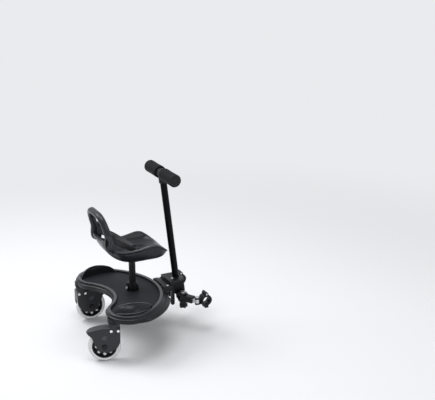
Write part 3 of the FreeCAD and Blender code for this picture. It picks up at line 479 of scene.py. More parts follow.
# Rolled lip, the bulge under it and the dip below that, and the rows that take the painted highlight
LIP_H, LIP_TURNS, LIP_ROWS = 3.4, 9, (41, 47)
BULGE, DIP, LEAST_SWELL, FAR_BELOW = (2.8, 1.0, 4.4), (0.9, 10.0, 3.4), 0.02, 99.0
OUTER_ROWS, SCOOP_ROWS, FLOOR_SHARES = 40, 26, (0.82, 0.62, 0.40, 0.18)
# Pocket in the seat's foot: its wall at the foot and at the top, its depth, and the two ribs in it
POCKET_WALLS, POCKET_H = (-4.0, -4.6), 20
RIB_FOOT, RIB_CUT = SEAT_FOOT + 0.4, 0.5
POCKET_RIBS = ((-1.5, 118, 3.0, 58.0), (-17, 146, 34.0, 3.0))
RIB_H = 18.0


def oblong(half, rear, front):
    """Rounded oblong in plan, always with as many points."""
    corner = min(half, (front - rear) / 2) * CORNER_SHARE
    x, low, high = half - corner, rear + corner, front - corner
    points = []
    for k, (start, centre) in enumerate((((half, low), (x, high)), ((x, front), (-x, high)),
                                         ((-half, high), (-x, low)), ((-x, rear), (x, low)))):
        bend = quarter_arc(*centre, corner, k * pi / 2, ARC_STEPS)[:-1]
        for i in range(LINE_STEPS):
            points.append(tuple(a + (b - a) * (i / LINE_STEPS) for a, b in zip(start, bend[0])))
        points += bend
    return points


@cache
def seat_ring(table, share):
    """Outline of the seat's outside or scoop at one share of its height."""
    rear, front, half = (blend_through(table[0], row, share) for row in table[1:])
    return oblong(half * SEAT_HALF, SEAT_REAR + rear * SEAT_LEN, SEAT_REAR + front * SEAT_LEN)


def rim_share(y):
    """Height share of the seat's rim at one place along the board."""
    return blend_through(*RIM, (y - SEAT_REAR) / SEAT_LEN)


def rim_levels(table):
    """For each point of the outline, the height share at which its wall meets the rim."""
    low = table[0][0]
    shares = [low + (1.0 - low) * k / RIM_STEPS for k in range(RIM_STEPS + 1)]
    rings = [seat_ring(table, share) for share in shares]
    count = len(rings[0])
    levels = [next((share for share, ring in zip(shares, rings) if share >= rim_share(ring[i][1])), 1.0)
              for i in range(count)]
    for _ in range(RIM_SMOOTHINGS):
        levels = [(levels[i - 1] + 2 * levels[i] + levels[(i + 1) % count]) / 4 for i in range(count)]
    return levels


def seat_column(table, first, last, steps):
    """Rings between two shares of each wall's height, which ends where the lip begins."""
    levels = rim_levels(table)
    low = table[0][0]
    rings = []
    for k in range(steps + 1):
        t = first + (last - first) * k / steps
        ring = []
        for i, level in enumerate(levels):
            top = level - LIP_H / SEAT_H
            share = low + (top - low) * t
            x, y = seat_ring(table, round(share, SHARE_DIGITS))[i]
            ring.append(Vector((x, y, SEAT_FOOT + share * SEAT_H)))
        rings.append(ring)
    return rings


def swell(ring, amount):
    """A ring moved outward in plan by an amount."""
    count = len(ring)
    out = []
    for i, p in enumerate(ring):
        run = ring[(i + 1) % count] - ring[i - 1]
        out.append(p + Vector((run.y, -run.x, 0)).normalized() * amount)
    return out


def saddle_mesh():
    """Scoop seat: outside, rolled lip, scoop and ribbed pocket."""
    outside = seat_column(OUTER, 0.0, 1.0, OUTER_ROWS)
    for k, ring in enumerate(outside):
        depth = (OUTER_ROWS - k) * (ring[0] - outside[k - 1][0]).length if k else FAR_BELOW
        bulge = bell(depth, BULGE) - bell(depth, DIP)
        outside[k] = swell(ring, bulge) if abs(bulge) > LEAST_SWELL else ring
    inside = seat_column(SCOOP, 1.0, 0.0, SCOOP_ROWS)
    foot, floor = outside[0], inside[-1]
    inner_foot, inner_top = (swell(foot, wall) for wall in POCKET_WALLS)
    rings = [[p + UP * POCKET_H for p in inner_top], inner_foot] + outside
    for j in range(1, LIP_TURNS):
        turn = pi * j / LIP_TURNS
        rings.append([(a + b) / 2 + (a - b) / 2 * cos(turn) + UP * (LIP_H * sin(turn))
                      for a, b in zip(outside[-1], inside[0])])
    rings += inside
    middle = sum(floor, Vector()) / len(floor)
    for share in FLOOR_SHARES:
        rings.append([middle + (p - middle) * share for p in floor])
    return joined([skin(rings)] + [bar_shape((x, y, RIB_FOOT), (w, d, RIB_H), RIB_CUT)
                                   for x, y, w, d in POCKET_RIBS])


# Hoop: its leaning plane, its bar, and how each leg deepens, slims and sinks into the seat
HOOP_FOOT, HOOP_RISE = Vector((0.0, 38.1, 322.16)), Vector((0.0, -30.0, 107.0))
HOOP_UP, HOOP_H = HOOP_RISE.normalized(), HOOP_RISE.length
HOOP_BACK = RIGHT.cross(HOOP_UP)
HOOP_HALF, HOOP_R, HOOP_CORNER, HOOP_ROOT = 64.0, 11.5, 40.0, -12.0
LEG_ROWS, BEND_ROWS, BAR_SIDES, BAR_POWER = 33, 16, 40, 2 / 2.3
LEG_WEB_TOP, LEG_WEB_FADE, LEG_WEB_ROOT, LEG_WEB_RISE = 52.0, 38.0, -16.0, 30.0
LEG_SLIM_FROM, LEG_SLIM_OVER, LEG_SINK_OVER = 30.0, 70.0, 22.0
# Loss where the leg is slim and gain at its web, in depth and width, and the web's backward shift
LEG_DEEP, LEG_WIDE, LEG_SHIFT = (1.0, 5.6), (2.2, 0.6), 4.0
# Belt slot, a plate whose dark colour is painted shade for the hole: its place on the leg, its rings (half
# height, half width, stand-off) and the ribs round it
SLOT_UP, SLOT_TURN, SLOT_R, SLOT_SIDES = 34.0, radians(50.0), 14.0, 32
SLOT_RINGS = ((13.0, 5.4, -2.0), (13.0, 5.4, 0.4), (12.6, 5.0, 0.6), (11.6, 4.0, 0.4), (6.0, 2.1, 0.4),
              (1.0, 0.3, 0.4))
RIB_R, RIB_REACHES, RIB_NARROW, RIB_SPAN, RIB_ROWS, RIB_SIDES = 1.5, (15.0, 21.0), 4.0, (0.05, 0.9), 24, 10


def hoop_stations():
    """Centres of the bar from the right foot over the top to the left foot, with the way outward."""
    stations = []
    for k in range(LEG_ROWS + 1):
        up = HOOP_ROOT + (HOOP_H - HOOP_CORNER - HOOP_ROOT) * k / LEG_ROWS
        stations.append((HOOP_FOOT + RIGHT * HOOP_HALF + HOOP_UP * up, RIGHT, up))
    bend = HOOP_FOOT + RIGHT * (HOOP_HALF - HOOP_CORNER) + HOOP_UP * (HOOP_H - HOOP_CORNER)
    for k in range(1, BEND_ROWS + 1):
        turn = pi / 2 * k / BEND_ROWS
        out = RIGHT * cos(turn) + HOOP_UP * sin(turn)
        stations.append((bend + out * HOOP_CORNER, out, HOOP_H))
    stations.append((HOOP_FOOT + HOOP_UP * HOOP_H, HOOP_UP, HOOP_H))
    for centre, out, up in list(reversed(stations[:-1])):
        stations.append((Vector((-centre.x, centre.y, centre.z)), Vector((-out.x, out.y, out.z)), up))
    return stations


def leg_size(up):
    """Depth, width and backward shift of the hoop's bar at a height above its foot."""
    foot = ease((LEG_WEB_TOP - up) / LEG_WEB_FADE) * ease((up - LEG_WEB_ROOT) / LEG_WEB_RISE)
    slim = max(0.0, min(1.0, (up - LEG_SLIM_FROM) / LEG_SLIM_OVER))
    sunk = 0.5 + 0.5 * ease((up - HOOP_ROOT) / LEG_SINK_OVER)
    deep, wide = ((HOOP_R - loss * slim + gain * foot) * sunk for loss, gain in (LEG_DEEP, LEG_WIDE))
    return deep, wide, LEG_SHIFT * foot


def bar_point(centre, out, up, turn, proud=0.0):
    """Point above the skin of the hoop's softly squared bar, turned from outward to backward."""
    deep, wide, back = leg_size(up)
    c, s = cos(turn), sin(turn)
    reach = wide * copysign(abs(c) ** BAR_POWER, c) + proud * c
    depth = deep * copysign(abs(s) ** BAR_POWER, s) + proud * s
    return centre + out * reach + HOOP_BACK * (back + depth)


def hoop_mesh():
    """Moulded bar that deepens into a web at each foot."""
    return skin([[bar_point(*station, turn) for turn in turn_angles(BAR_SIDES)]
                 for station in hoop_stations()])


def slot_parts(side):
    """Slot on the rear corner of a hoop foot, a plate whose dark colour is painted shade for the hole, and
    the curved ribs round it.
    """
    out = Vector((side, 0, 0))

    def spot(up, across, proud):
        centre = HOOP_FOOT + out * HOOP_HALF + HOOP_UP * (SLOT_UP + up)
        return bar_point(centre, out, SLOT_UP + up, SLOT_TURN + across / SLOT_R, proud)

    plate = skin([[spot(up * cos(a), across * sin(a), proud) for a in turn_angles(SLOT_SIDES)]
                  for up, across, proud in SLOT_RINGS])
    ribs = []
    for reach in RIB_REACHES:
        rings = []
        for k in range(RIB_ROWS + 1):
            turn = pi * (k / RIB_ROWS * RIB_SPAN[1] + RIB_SPAN[0])
            c, s = cos(turn), sin(turn)
            up, across = reach * c, -(reach - RIB_NARROW) * s
            rings.append([spot(up + RIB_R * cos(a) * c, across - RIB_R * cos(a) * s,
                               RIB_R * sin(a)) for a in turn_angles(RIB_SIDES)])
        ribs.append(skin(rings))
    return plate, joined(ribs)


# Waist belt: its height on the hoop's bars, and the pull of its curve at the bar and at the buckle
BUCKLE = Vector((0.0, 132.5, 289.36))
WEB_W, WEB_T, WEB_STEPS = 25.0, 2.2, 72
BELT_UP, BELT_GAP, BOW_IN, BOW_AHEAD, BUCKLE_END, BUCKLE_AHEAD = 34.0, 2.6, 10.0, 58.0, 21.0, 49.0
RIPPLE, RIPPLE_TURN = 0.35, 9.0
# Lower half of the webbing's section, with a thicker edge, as shares of half its width and thickness
WEB_HALF = ((-1, -0.5), (-0.95, -1), (-0.8, -1), (-0.78, -0.8),
            (0.78, -0.8), (0.8, -1), (0.95, -1), (1, -0.5))
WEB_SECTION = WEB_HALF + tuple((a, -b) for a, b in reversed(WEB_HALF))
# Buckle: corner, size and edge of each box, from the lower rear corner of its middle
BUCKLE_REAR, BUCKLE_LOW = BUCKLE.y - 17.0, BUCKLE.z - 6.0
SOCKET = (((0.0, 0.0, 0.0), (18.0, 34.0, 2.2), 0.8), ((0.0, 0.0, 9.8), (18.0, 34.0, 2.2), 0.8),
          ((0.0, 9.0, 1.0), (18.0, 16.0, 10.0), 1.0), ((13.0, 0.0, 1.0), (5.0, 34.0, 10.0), 1.2),
          ((4.0, 13.0, 11.6), (8.0, 8.0, 0.8), 0.3))
PLUG = (((0.6, 0.8, 2.6), (14.0, 7.0, 6.8), 1.4), ((0.6, 26.2, 2.6), (14.0, 7.0, 6.8), 1.4),
        ((12.0, 0.5, 1.0), (6.0, 33.0, 10.0), 1.4), ((0.4, 12.0, 4.0), (14.0, 10.0, 4.0), 1.0),
        *(((13.0 + k * 1.6, 6.0, 10.6), (0.8, 22.0, 0.9), 0.2) for k in range(3)))
WEB_LOOP = (((17.0, 2.0, 2.0), (6.0, 4.0, 8.0), 1.0), ((17.0, 28.0, 2.0), (6.0, 4.0, 8.0), 1.0),
            ((20.4, 2.0, 2.0), (2.6, 30.0, 8.0), 1.0))
# Belt clip: its near face and reach, and the foot, width, height and stand-off of its block and ribs
CLIP_NEAR, CLIP_FAR, CLIP_CUT = 4.0, 6.9, 0.8
CLIP_BARS = ((-17.0, 13.6, 34.0, 0.0), *((low, 9.0, 2.2, 1.0) for low in (-13.0, -6.0, 1.0, 8.0)))


def web_rings(side):
    """Webbing from a hoop bar to the buckle, upright at the bar and flat at the buckle, and its run."""
    start = HOOP_FOOT + Vector((side * (HOOP_HALF - HOOP_R - BELT_GAP), 0, 0)) + HOOP_UP * BELT_UP
    bow = Vector((side * (HOOP_HALF - BOW_IN), HOOP_FOOT.y + BOW_AHEAD, HOOP_FOOT.z))
    end = BUCKLE + Vector((side * BUCKLE_END, 0, 0))
    ahead = BUCKLE + Vector((side * BUCKLE_AHEAD, 0, 0))
    rings, lengths, total, last = [], [], 0.0, None
    for k in range(WEB_STEPS + 1):
        t = k / WEB_STEPS
        u = 1 - t
        p = start * u ** 3 + bow * (3 * u * u * t) + ahead * (3 * u * t * t) + end * t ** 3
        run = (bow - start) * u ** 2 + (ahead - bow) * (2 * u * t) + (end - ahead) * t ** 2
        along = Vector((run.x, run.y, 0)).normalized()
        tilt = pi / 2 * t * t * (3 - 2 * t)
        tall = UP * cos(tilt) + along.cross(UP) * (side * sin(tilt))
        thin = along.cross(tall)
        ripple = RIPPLE * sin(t * RIPPLE_TURN) * sin(pi * t)
        total += (p - last).length if last else 0.0
        last = p
        lengths.append(total)
        rings.append([p + tall * (WEB_W / 2 * a) + thin * (WEB_T / 2 * b + ripple) for a, b in WEB_SECTION])
    return rings, lengths


def web_piece(name, side, replaced):
    """The webbing with a map along its length, in metres."""
    rings, lengths = web_rings(side)
    mesh = piece(name, *skin(rings), "web", "saddle", replaced).data
    layer = mesh.uv_layers.new(name="along")
    for loop in mesh.loops:
        row, i = divmod(loop.vertex_index, len(WEB_SECTION))
        layer.data[loop.index].uv = (lengths[row] * MM, WEB_SECTION[i][0] * WEB_W / 2 * MM)


def buckle_half(side):
    """One half of the side-release buckle: the socket with its windows, or the plug with its prongs."""
    boxes = (SOCKET if side > 0 else PLUG) + WEB_LOOP
    verts, faces = joined([bar_shape((x, BUCKLE_REAR + y, BUCKLE_LOW + z), size, cut)
                           for (x, y, z), size, cut in boxes])
    return [(side * v[0], v[1], v[2]) for v in verts], faces


def clip_mesh(side):
    """Belt clip on the front of a hoop bar: a block with ribs across it."""
    middle = HOOP_FOOT + Vector((side * HOOP_HALF, 0, 0)) + HOOP_UP * BELT_UP
    parts = []
    for low, width, height, proud in CLIP_BARS:
        deep = HOOP_R + CLIP_FAR + proud
        verts, faces = bar_shape((-width / 2, CLIP_NEAR, low), (width, deep - CLIP_NEAR, height), CLIP_CUT)
        parts.append(([middle + RIGHT * x - HOOP_BACK * y + HOOP_UP * z for x, y, z in verts], faces))
    return joined(parts)


# Repeated fasteners and windows: a head's rings as shares of its radius and height, and its recess
HEAD_SIDES = 24
HEAD_RINGS = ((1.0, 0.0), (1.0, 0.55), (0.93, 0.82), (0.72, 1.0), (0.50, 1.06))
RECESS_R, RECESS_LEVELS = 0.44, (1.04, 0.35)


def screw_head(radius, height):
    """Domed head with a six-sided recess, about its own axis."""
    def ring(z, reach):
        return [Vector((cos(a), sin(a), 0)) * reach(a) + UP * (height * z)
                for a in turn_angles(HEAD_SIDES)]

    def hexagon(a):
        flat = cos(pi / 6) / cos((a % (pi / 3)) - pi / 6)
        return radius * RECESS_R * flat

    dome = [ring(z, lambda a, r=r: radius * r) for r, z in HEAD_RINGS]
    return skin(dome + [ring(z, hexagon) for z in RECESS_LEVELS])


def repeat_tree(name, stamp, finish):
    """Node group that sets one stamp on every point, turned to the point's own axis."""
    tree = bpy.data.node_groups.new(name, "GeometryNodeTree")
    for way, label, kind in (("INPUT", "Geometry", "Geometry"), ("INPUT", "Size", "Float"),
                             ("OUTPUT", "Geometry", "Geometry")):
        tree.interface.new_socket(label, in_out=way, socket_type="NodeSocket" + kind)
    start, end = new_node(tree, "NodeGroupInput").outputs, new_node(tree, "NodeGroupOutput")
    axis = new_node(tree, "GeometryNodeInputNamedAttribute", {"Name": "axis"}, data_type="FLOAT_VECTOR")
    turn = new_node(tree, "FunctionNodeAlignRotationToVector",
                    {"Vector": axis.outputs["Attribute"]}, axis="Z")
    info = new_node(tree, "GeometryNodeObjectInfo", {"Object": stamp})
    spread = new_node(tree, "GeometryNodeInstanceOnPoints", {
        "Points": start["Geometry"], "Instance": info.outputs["Geometry"],
        "Rotation": turn.outputs["Rotation"], "Scale": start["Size"]})
    real = new_node(tree, "GeometryNodeRealizeInstances", {"Geometry": spread.outputs["Instances"]})
    colour = new_node(tree, "GeometryNodeSetMaterial", {
        "Geometry": real.outputs["Geometry"], "Material": MATERIALS[finish]})
    fed(end, {"Geometry": colour.outputs["Geometry"]})
    return tree


def evaluated(carrier, name):
    """The mesh that an object's modifiers make. The object itself is removed."""
    bpy.context.view_layer.update()
    shown = bpy.data.meshes.new_from_object(carrier.evaluated_get(bpy.context.evaluated_depsgraph_get()))
    carrier.modifiers.clear()
    bpy.data.objects.remove(carrier)
    shown.name = name
    return shown


def repeated(name, stamp_mesh, places, finish, body, replaced=(), size=1.0):
    """One mesh of a stamp repeated at places, each a point and an axis in drawing millimetres."""
    verts, faces = stamp_mesh
    mesh = bpy.data.meshes.new(name + "_stamp")
    mesh.from_pydata([Vector(v) * MM for v in verts], [], faces)
    stamp = bpy.data.objects.new(name + "_stamp", mesh)
    dots = bpy.data.meshes.new(name + "_dots")
    dots.from_pydata([at(*p) for p, _ in places], [], [])
    axes = dots.attributes.new("axis", "FLOAT_VECTOR", "POINT")
    for i, (_, axis) in enumerate(places):
        axes.data[i].vector = Vector(axis).normalized()
    carrier = new_object(name + "_dots", dots)
    tree = repeat_tree(name + "_repeat", stamp, finish)
    work = carrier.modifiers.new("repeat", "NODES")
    work.node_group = tree
    size_socket = next(s for s in tree.interface.items_tree if s.name == "Size")
    work[size_socket.identifier] = size
    shown = evaluated(carrier, name)
    bpy.data.objects.remove(stamp)
    return placed(name, shown, finish, body, replaced)


# Copies of carried pieces
WELD = 0.00001
FLAT_ANGLE, BEVEL_ANGLE, BEVEL_SEGMENTS = radians(1.0), radians(35), 2


def solid_copy(node):
    """Mesh under way that copies a carried piece, with its seams welded."""
    source = frame["nodes"][node]
    work = bmesh.new()
    work.from_mesh(source.data)
    work.transform(source.matrix_world)
    bmesh.ops.remove_doubles(work, verts=work.verts, dist=WELD)
    return work


def as_mesh(work, name):
    """Close a mesh under way."""
    mesh = bpy.data.meshes.new(name)
    work.to_mesh(mesh)
    work.free()
    return mesh


def softened(node, width, finish, body):
    """A copy of a carried piece with its sharp edges eased."""
    work = solid_copy(node)
    bmesh.ops.dissolve_limit(work, angle_limit=FLAT_ANGLE, verts=work.verts, edges=work.edges)
    carrier = new_object(node + "_work", as_mesh(work, node + "_soft"))
    bevel = carrier.modifiers.new("bevel", "BEVEL")
    bevel.width = width * MM
    bevel.segments = BEVEL_SEGMENTS
    bevel.limit_method = "ANGLE"
    bevel.angle_limit = BEVEL_ANGLE
    return placed(node + "_eased", evaluated(carrier, node + "_eased"), finish, body, (node,))


# Casters: each stands at its own swivel angle
SWIVEL_X, TRAIL, WHEEL_Z, FORK_HALF, FORK_EDGE = 157.0, 31.0, 50.0, 17.0, 1.0
TRAIL_DEG = {1: 21.0, -1: 180.0}
SCREW_YS, SCREW_Z, FORK_SCREW = (-8.5, 12.5), 103.8, (4.4, 2.0)
BOSS_Y, BOSS_Z, BOSS_SIDES = -30.0, 82.5, 32
BOSS_PROFILE = ((0.2, -1.0), (7.4, -1.0), (7.4, 0.5), (6.6, 1.1), (5.4, 1.1), (4.7, 0.3), (0.2, 0.3))
WINDOWS, WINDOW_REACH, WINDOW_SIDES = 8, 25.0, 24
WINDOW_PROFILE = ((0.2, -9.3), (4.0, -9.3), (4.75, -8.5), (4.75, 8.5), (4.0, 9.3), (0.2, 9.3))


def on_caster(side, x, y, z):
    """A point of a caster's own drawing, as a point of the board's."""
    turn = radians(TRAIL_DEG[side])
    return Vector((side * SWIVEL_X + x * cos(turn) + y * sin(turn),
                   -x * sin(turn) + y * cos(turn), z))


def caster_axis(side):
    """Axis of a caster's wheel."""
    turn = radians(TRAIL_DEG[side])
    return Vector((cos(turn), -sin(turn), 0))


# Grips: from the cross tube's middle out, with the foam, its bore and the cap at its end
GRIP_LOW, GRIP_HIGH, GRIP_R, GRIP_BORE, GRIP_SIDES = 15.0, 97.0, 20.4, 9.2, 64
GRIP_ROUND, GRIP_WAIST, GRIP_SHOULDER, ROUND_STEPS, GRIP_STEPS = 4.0, 0.5, 1.2, 8, 16
CAP_FACE, CAP_BORE, CAP_ROUND, CAP_STEPS = 100.0, 9.0, 1.6, 6
# Dish of the cap: radius and depth below its face
CAP_DISH = ((GRIP_R - 4.0, 0.0), (GRIP_R - 4.6, 0.5), (CAP_BORE, 0.7), (8.4, 0.2), (0.2, 0.1))
POLE_LEAN, POLE_Y, POLE_Z, TEE_Z = radians(6.5), 277.1, 168.0, 527.0


def grip_profile():
    """Foam grip: a tube with a faint waist and rounded ends."""
    low, high, r = GRIP_LOW, GRIP_HIGH, GRIP_R
    profile = [(GRIP_BORE, low)]
    profile += quarter_arc(r - GRIP_ROUND, low + GRIP_ROUND, GRIP_ROUND, -pi / 2, ROUND_STEPS)
    for k in range(1, GRIP_STEPS):
        t = k / GRIP_STEPS
        profile.append((r - GRIP_WAIST * sin(pi * t) ** 2,
                        low + GRIP_ROUND + (high - low - GRIP_ROUND - GRIP_SHOULDER) * t))
    return profile + [(r, high - GRIP_SHOULDER), (r - 0.4, high - 0.3), (r - GRIP_SHOULDER, high),
                      (GRIP_BORE, high)]


def cap_profile():
    """End cap of a grip: rounded rim, shallow dish and a raised middle."""
    profile = [(CAP_BORE, GRIP_HIGH), (GRIP_R - 0.3, GRIP_HIGH)]
    profile += quarter_arc(GRIP_R - CAP_ROUND, CAP_FACE - CAP_ROUND, CAP_ROUND, 0.0, CAP_STEPS)
    return profile + [(r, CAP_FACE - down) for r, down in CAP_DISH]


# Deck: the arcs of its outline, with the span of the lobe's in degrees, and its levels
LOBE_AT, LOBE_R, LOBE_SPAN = Vector((144.0, 57.0)), 75.0, (-135.9, 28.3)
FRONT_AT, FRONT_R = Vector((0.0, -20.56)), 238.56
NOTCH_AT, NOTCH_R = Vector((0.0, -82.47)), 125.47
DECK_EDGE, FLOOR_Z, DECK_FLOOR, DECK_FOOT = 156.0, 150.0, 147.0, 127.0
# Above CREST_Z bead faces take the painted highlight, above GUARD_ROOT guard faces take the rim's painted
# shade, and LEVEL is the least upward lean of a face kept flat
CREST_Z, GUARD_ROOT, LEVEL = 156.4, 151.0, 0.999
# Bead, rolled inward over its width
RIM_W, WALL_ROOM, ROLL, ROLL_FROM, ROLL_DEPTH, ROLL_RISE = 12.6, 6.0, 6.0, 0.5, 8.0, 6.6
# Skirt: the flare in front, the draft all round, the groove under the bead and the raised foot
SKIRT_ROWS, FLARE, FLARE_FOOT, FLARE_POWER = 25, 20.0, 134.0, 1.1
FLARE_WAY, FLARE_FROM, FLARE_OVER = 0.85, 50.0, 45.0
DRAFT, DRAFT_POWER, GROOVE, FOOT_SHARE = 5.0, 1.7, (3.2, 149.6, 1.7), 0.7
# Housing of a swivel under the deck: radius and height of its rings
HOUSING, HOUSING_SIDES = ((14.0, 127.2), (19.0, 127.2), (20.0, 128.2), (20.0, 142.0)), 40


def deck_edge(x, y):
    """Depth of a point inside the deck's outline, and the way out of it."""
    side = -1.0 if x < 0 else 1.0
    spot = Vector((abs(x), y))
    arm = spot - LOBE_AT
    if LOBE_SPAN[0] < degrees(atan2(arm.y, arm.x)) < LOBE_SPAN[1]:
        depth, way = LOBE_R - arm.length, arm.normalized()
    else:
        front, notch = spot - FRONT_AT, spot - NOTCH_AT
        depth, way = FRONT_R - front.length, front.normalized()
        if notch.length - NOTCH_R < depth:
            depth, way = notch.length - NOTCH_R, -notch.normalized()
    return depth, Vector((side * way.x, way.y, 0.0))


def skirt_point(co):
    """Where a point of the skirt goes: drawn in at the sides, out below the bead in front."""
    x, y, z = drawn(co)
    depth, way = deck_edge(x, y)
    if depth < RIM_W and z > DECK_FLOOR + ROLL_FROM:
        into = ROLL * max(ease(depth / ROLL_DEPTH), min(1.0, (z - DECK_FLOOR) / ROLL_RISE))
        x, y = x - way.x * into, y - way.y * into
        depth = 0.0 if depth < WALL_ROOM else depth
    if depth > WALL_ROOM or z > DECK_EDGE:
        return at(x, y, z)
    ahead = ease(way.y / FLARE_WAY) * ease((abs(x) - FLARE_FROM) / FLARE_OVER)
    fall = (DECK_EDGE - z) / (DECK_EDGE - DECK_FOOT)
    drop = min(1.0, (DECK_EDGE - z) / (DECK_EDGE - FLARE_FOOT))
    out = FLARE * ahead * drop ** FLARE_POWER - DRAFT * fall ** DRAFT_POWER - bell(z, GROOVE)
    if z < DECK_FLOOR:
        z = DECK_FLOOR - (DECK_FLOOR - z) * FOOT_SHARE
    return at(x + way.x * out, y + way.y * out, z)


def skirted_deck():
    """A copy of the deck whose skirt is cut into rows and drawn to its moulded lean."""
    work = solid_copy("deck_shell")
    for k in range(1, SKIRT_ROWS):
        z = at(0, 0, DECK_FOOT + (DECK_EDGE - DECK_FOOT) * k / SKIRT_ROWS).z
        bmesh.ops.bisect_plane(work, geom=work.verts[:] + work.edges[:] + work.faces[:], dist=WELD,
                               plane_co=(0, 0, z), plane_no=(0, 0, 1))
    for vert in work.verts:
        vert.co = skirt_point(vert.co)
    return as_mesh(work, "skirted_deck")


# Foot guards: the shares of lean and height at each row of the band, and the hollow behind it
GUARD_INSET, GUARD_LEAN, GUARD_H = 19.0, 31.0, 33.0
GUARD_IN = (0.0, 0.11, 0.32, 0.61, 1.0)
GUARD_UP = (0.0, 0.36, 0.67, 0.87, 1.0)
HOLLOW_AT, HOLLOW_R = Vector((20.0, 75.0)), 150.4
# Lips, coloured with the painted highlight: the shares of the outer face's depth at which they run, their
# steps in degrees and their section
LEAF_SHARES, LEAF_STEP, LEAF_STEPS = (0.0, 0.9), 1.5, 80
LEAF_R, LEAF_TIP, LEAF_TAPER, LEAF_SIDES, LEAF_SUNK = 1.7, 0.2, 6.0, 10, 0.4


def guard_height(depth):
    """Height of a guard's outer face at a depth inside the deck's outline."""
    share = (depth - GUARD_INSET) / GUARD_LEAN
    for a, b, low, high in zip(GUARD_IN, GUARD_IN[1:], GUARD_UP, GUARD_UP[1:]):
        if share <= b:
            return FLOOR_Z + GUARD_H * (low + (high - low) * (share - a) / (b - a))
    return FLOOR_Z + GUARD_H


def lip_tube(path):
    """Thin round lip along a path, tapered to its two tips."""
    rings = []
    for k, spot in enumerate(path):
        along = (path[min(k + 1, len(path) - 1)] - path[max(k - 1, 0)]).normalized()
        side = along.cross(UP).normalized()
        up = side.cross(along)
        share = k / (len(path) - 1)
        radius = LEAF_R * (LEAF_TIP + (1 - LEAF_TIP) * ease(LEAF_TAPER * min(share, 1.0 - share)))
        rings.append([spot + radius * (side * cos(a) + up * sin(a))
                      for a in turn_angles(LEAF_SIDES)])
    return skin(rings)


def guard_lips(side):
    """A lip along the crown of a guard, and one along the foot of its outer face."""
    paths = [[] for _ in LEAF_SHARES]
    for k in range(-LEAF_STEPS, LEAF_STEPS + 1):
        turn = radians(LEAF_STEP * k)
        spot = HOLLOW_AT + HOLLOW_R * Vector((cos(turn), sin(turn)))
        depth, way = deck_edge(*spot)
        face = depth - GUARD_INSET
        if face > 0:
            for path, share in zip(paths, LEAF_SHARES):
                out = spot + face * share * way.to_2d()
                height = guard_height(depth - face * share)
                path.append(Vector((side * out.x, out.y, height - LEAF_SUNK)))
    return joined([lip_tube(path) for path in paths])


class BOARD_OT_deck(bpy.types.Operator):
    """Model the deck with its leaning skirt under the rolled bead, its housings and its guards' lips."""
    bl_idname = "board.deck"
    bl_label = "Model deck"

    def execute(self, context):
        deck = placed("skirted_deck", skirted_deck(), "deck", "deck", ("deck_shell",)).data
        deck.materials.append(MATERIALS["rim"])
        deck.materials.append(MATERIALS["crest"])
        for side in deck.polygons:
            x, y, z = drawn(side.center)
            # Bead tops take the painted highlight; bead, skirt and guard faces take the rim colour, which is
            # painted shade
            bead = deck_edge(x, y)[0] < RIM_W + ROLL
            side.material_index = 2 if bead and z > CREST_Z else int(bead or z > GUARD_ROOT)
            side.use_smooth = abs(side.normal.z) < LEVEL
        for name, side in SIDES:
            rings = [[(side * SWIVEL_X + r * cos(a), r * sin(a), z)
                      for a in turn_angles(HOUSING_SIDES)] for r, z in HOUSING]
            piece("swivel_housing_" + name, *skin(rings), "rim", "deck")
            # The guards' lips take the painted highlight
            piece("guard_lips_" + name, *guard_lips(side), "crest", "deck")
        return {"FINISHED"}


class BOARD_OT_saddle(bpy.types.Operator):
    """Model the scoop seat with its rolled lip, and the hoop that grows out of its wings."""
    bl_idname = "board.saddle"
    bl_label = "Model saddle"

    def execute(self, context):
        seat = piece("saddle_scoop", *saddle_mesh(), "seat", "saddle", ("seat_shell",)).data
        seat.materials.append(MATERIALS["crest"])
        # The outer rows of the lip take the painted highlight
        around = 4 * (LINE_STEPS + ARC_STEPS)
        for k in range(LIP_ROWS[0] * around, LIP_ROWS[1] * around):
            seat.polygons[k].material_index = 1
        piece("saddle_hoop", *hoop_mesh(), "seat", "saddle", ("backrest_hoop",))
        for name, side in SIDES:
            plate, ribs = slot_parts(side)
            # The slot plate is painted shade in the dark tube colour, and its ribs take the painted highlight
            piece("belt_slot_" + name, *plate, "pole", "saddle")
            piece("slot_ribs_" + name, *ribs, "crest", "saddle")
        return {"FINISHED"}


class BOARD_OT_belt(bpy.types.Operator):
    """Model the waist belt: woven webbing, side-release buckle and the clips on the bars."""
    bl_idname = "board.belt"
    bl_label = "Model belt"

    def execute(self, context):
        for name, side in SIDES:
            web_piece("belt_strap_" + name, side, ("belt_web_" + name,))
            piece("belt_keeper_" + name, *clip_mesh(side), "black", "saddle", ("belt_clip_" + name,))
        piece("buckle_female", *buckle_half(1), "black", "saddle", ("buckle_socket",))
        piece("buckle_male", *buckle_half(-1), "black", "saddle", ("buckle_plug",))
        return {"FINISHED"}


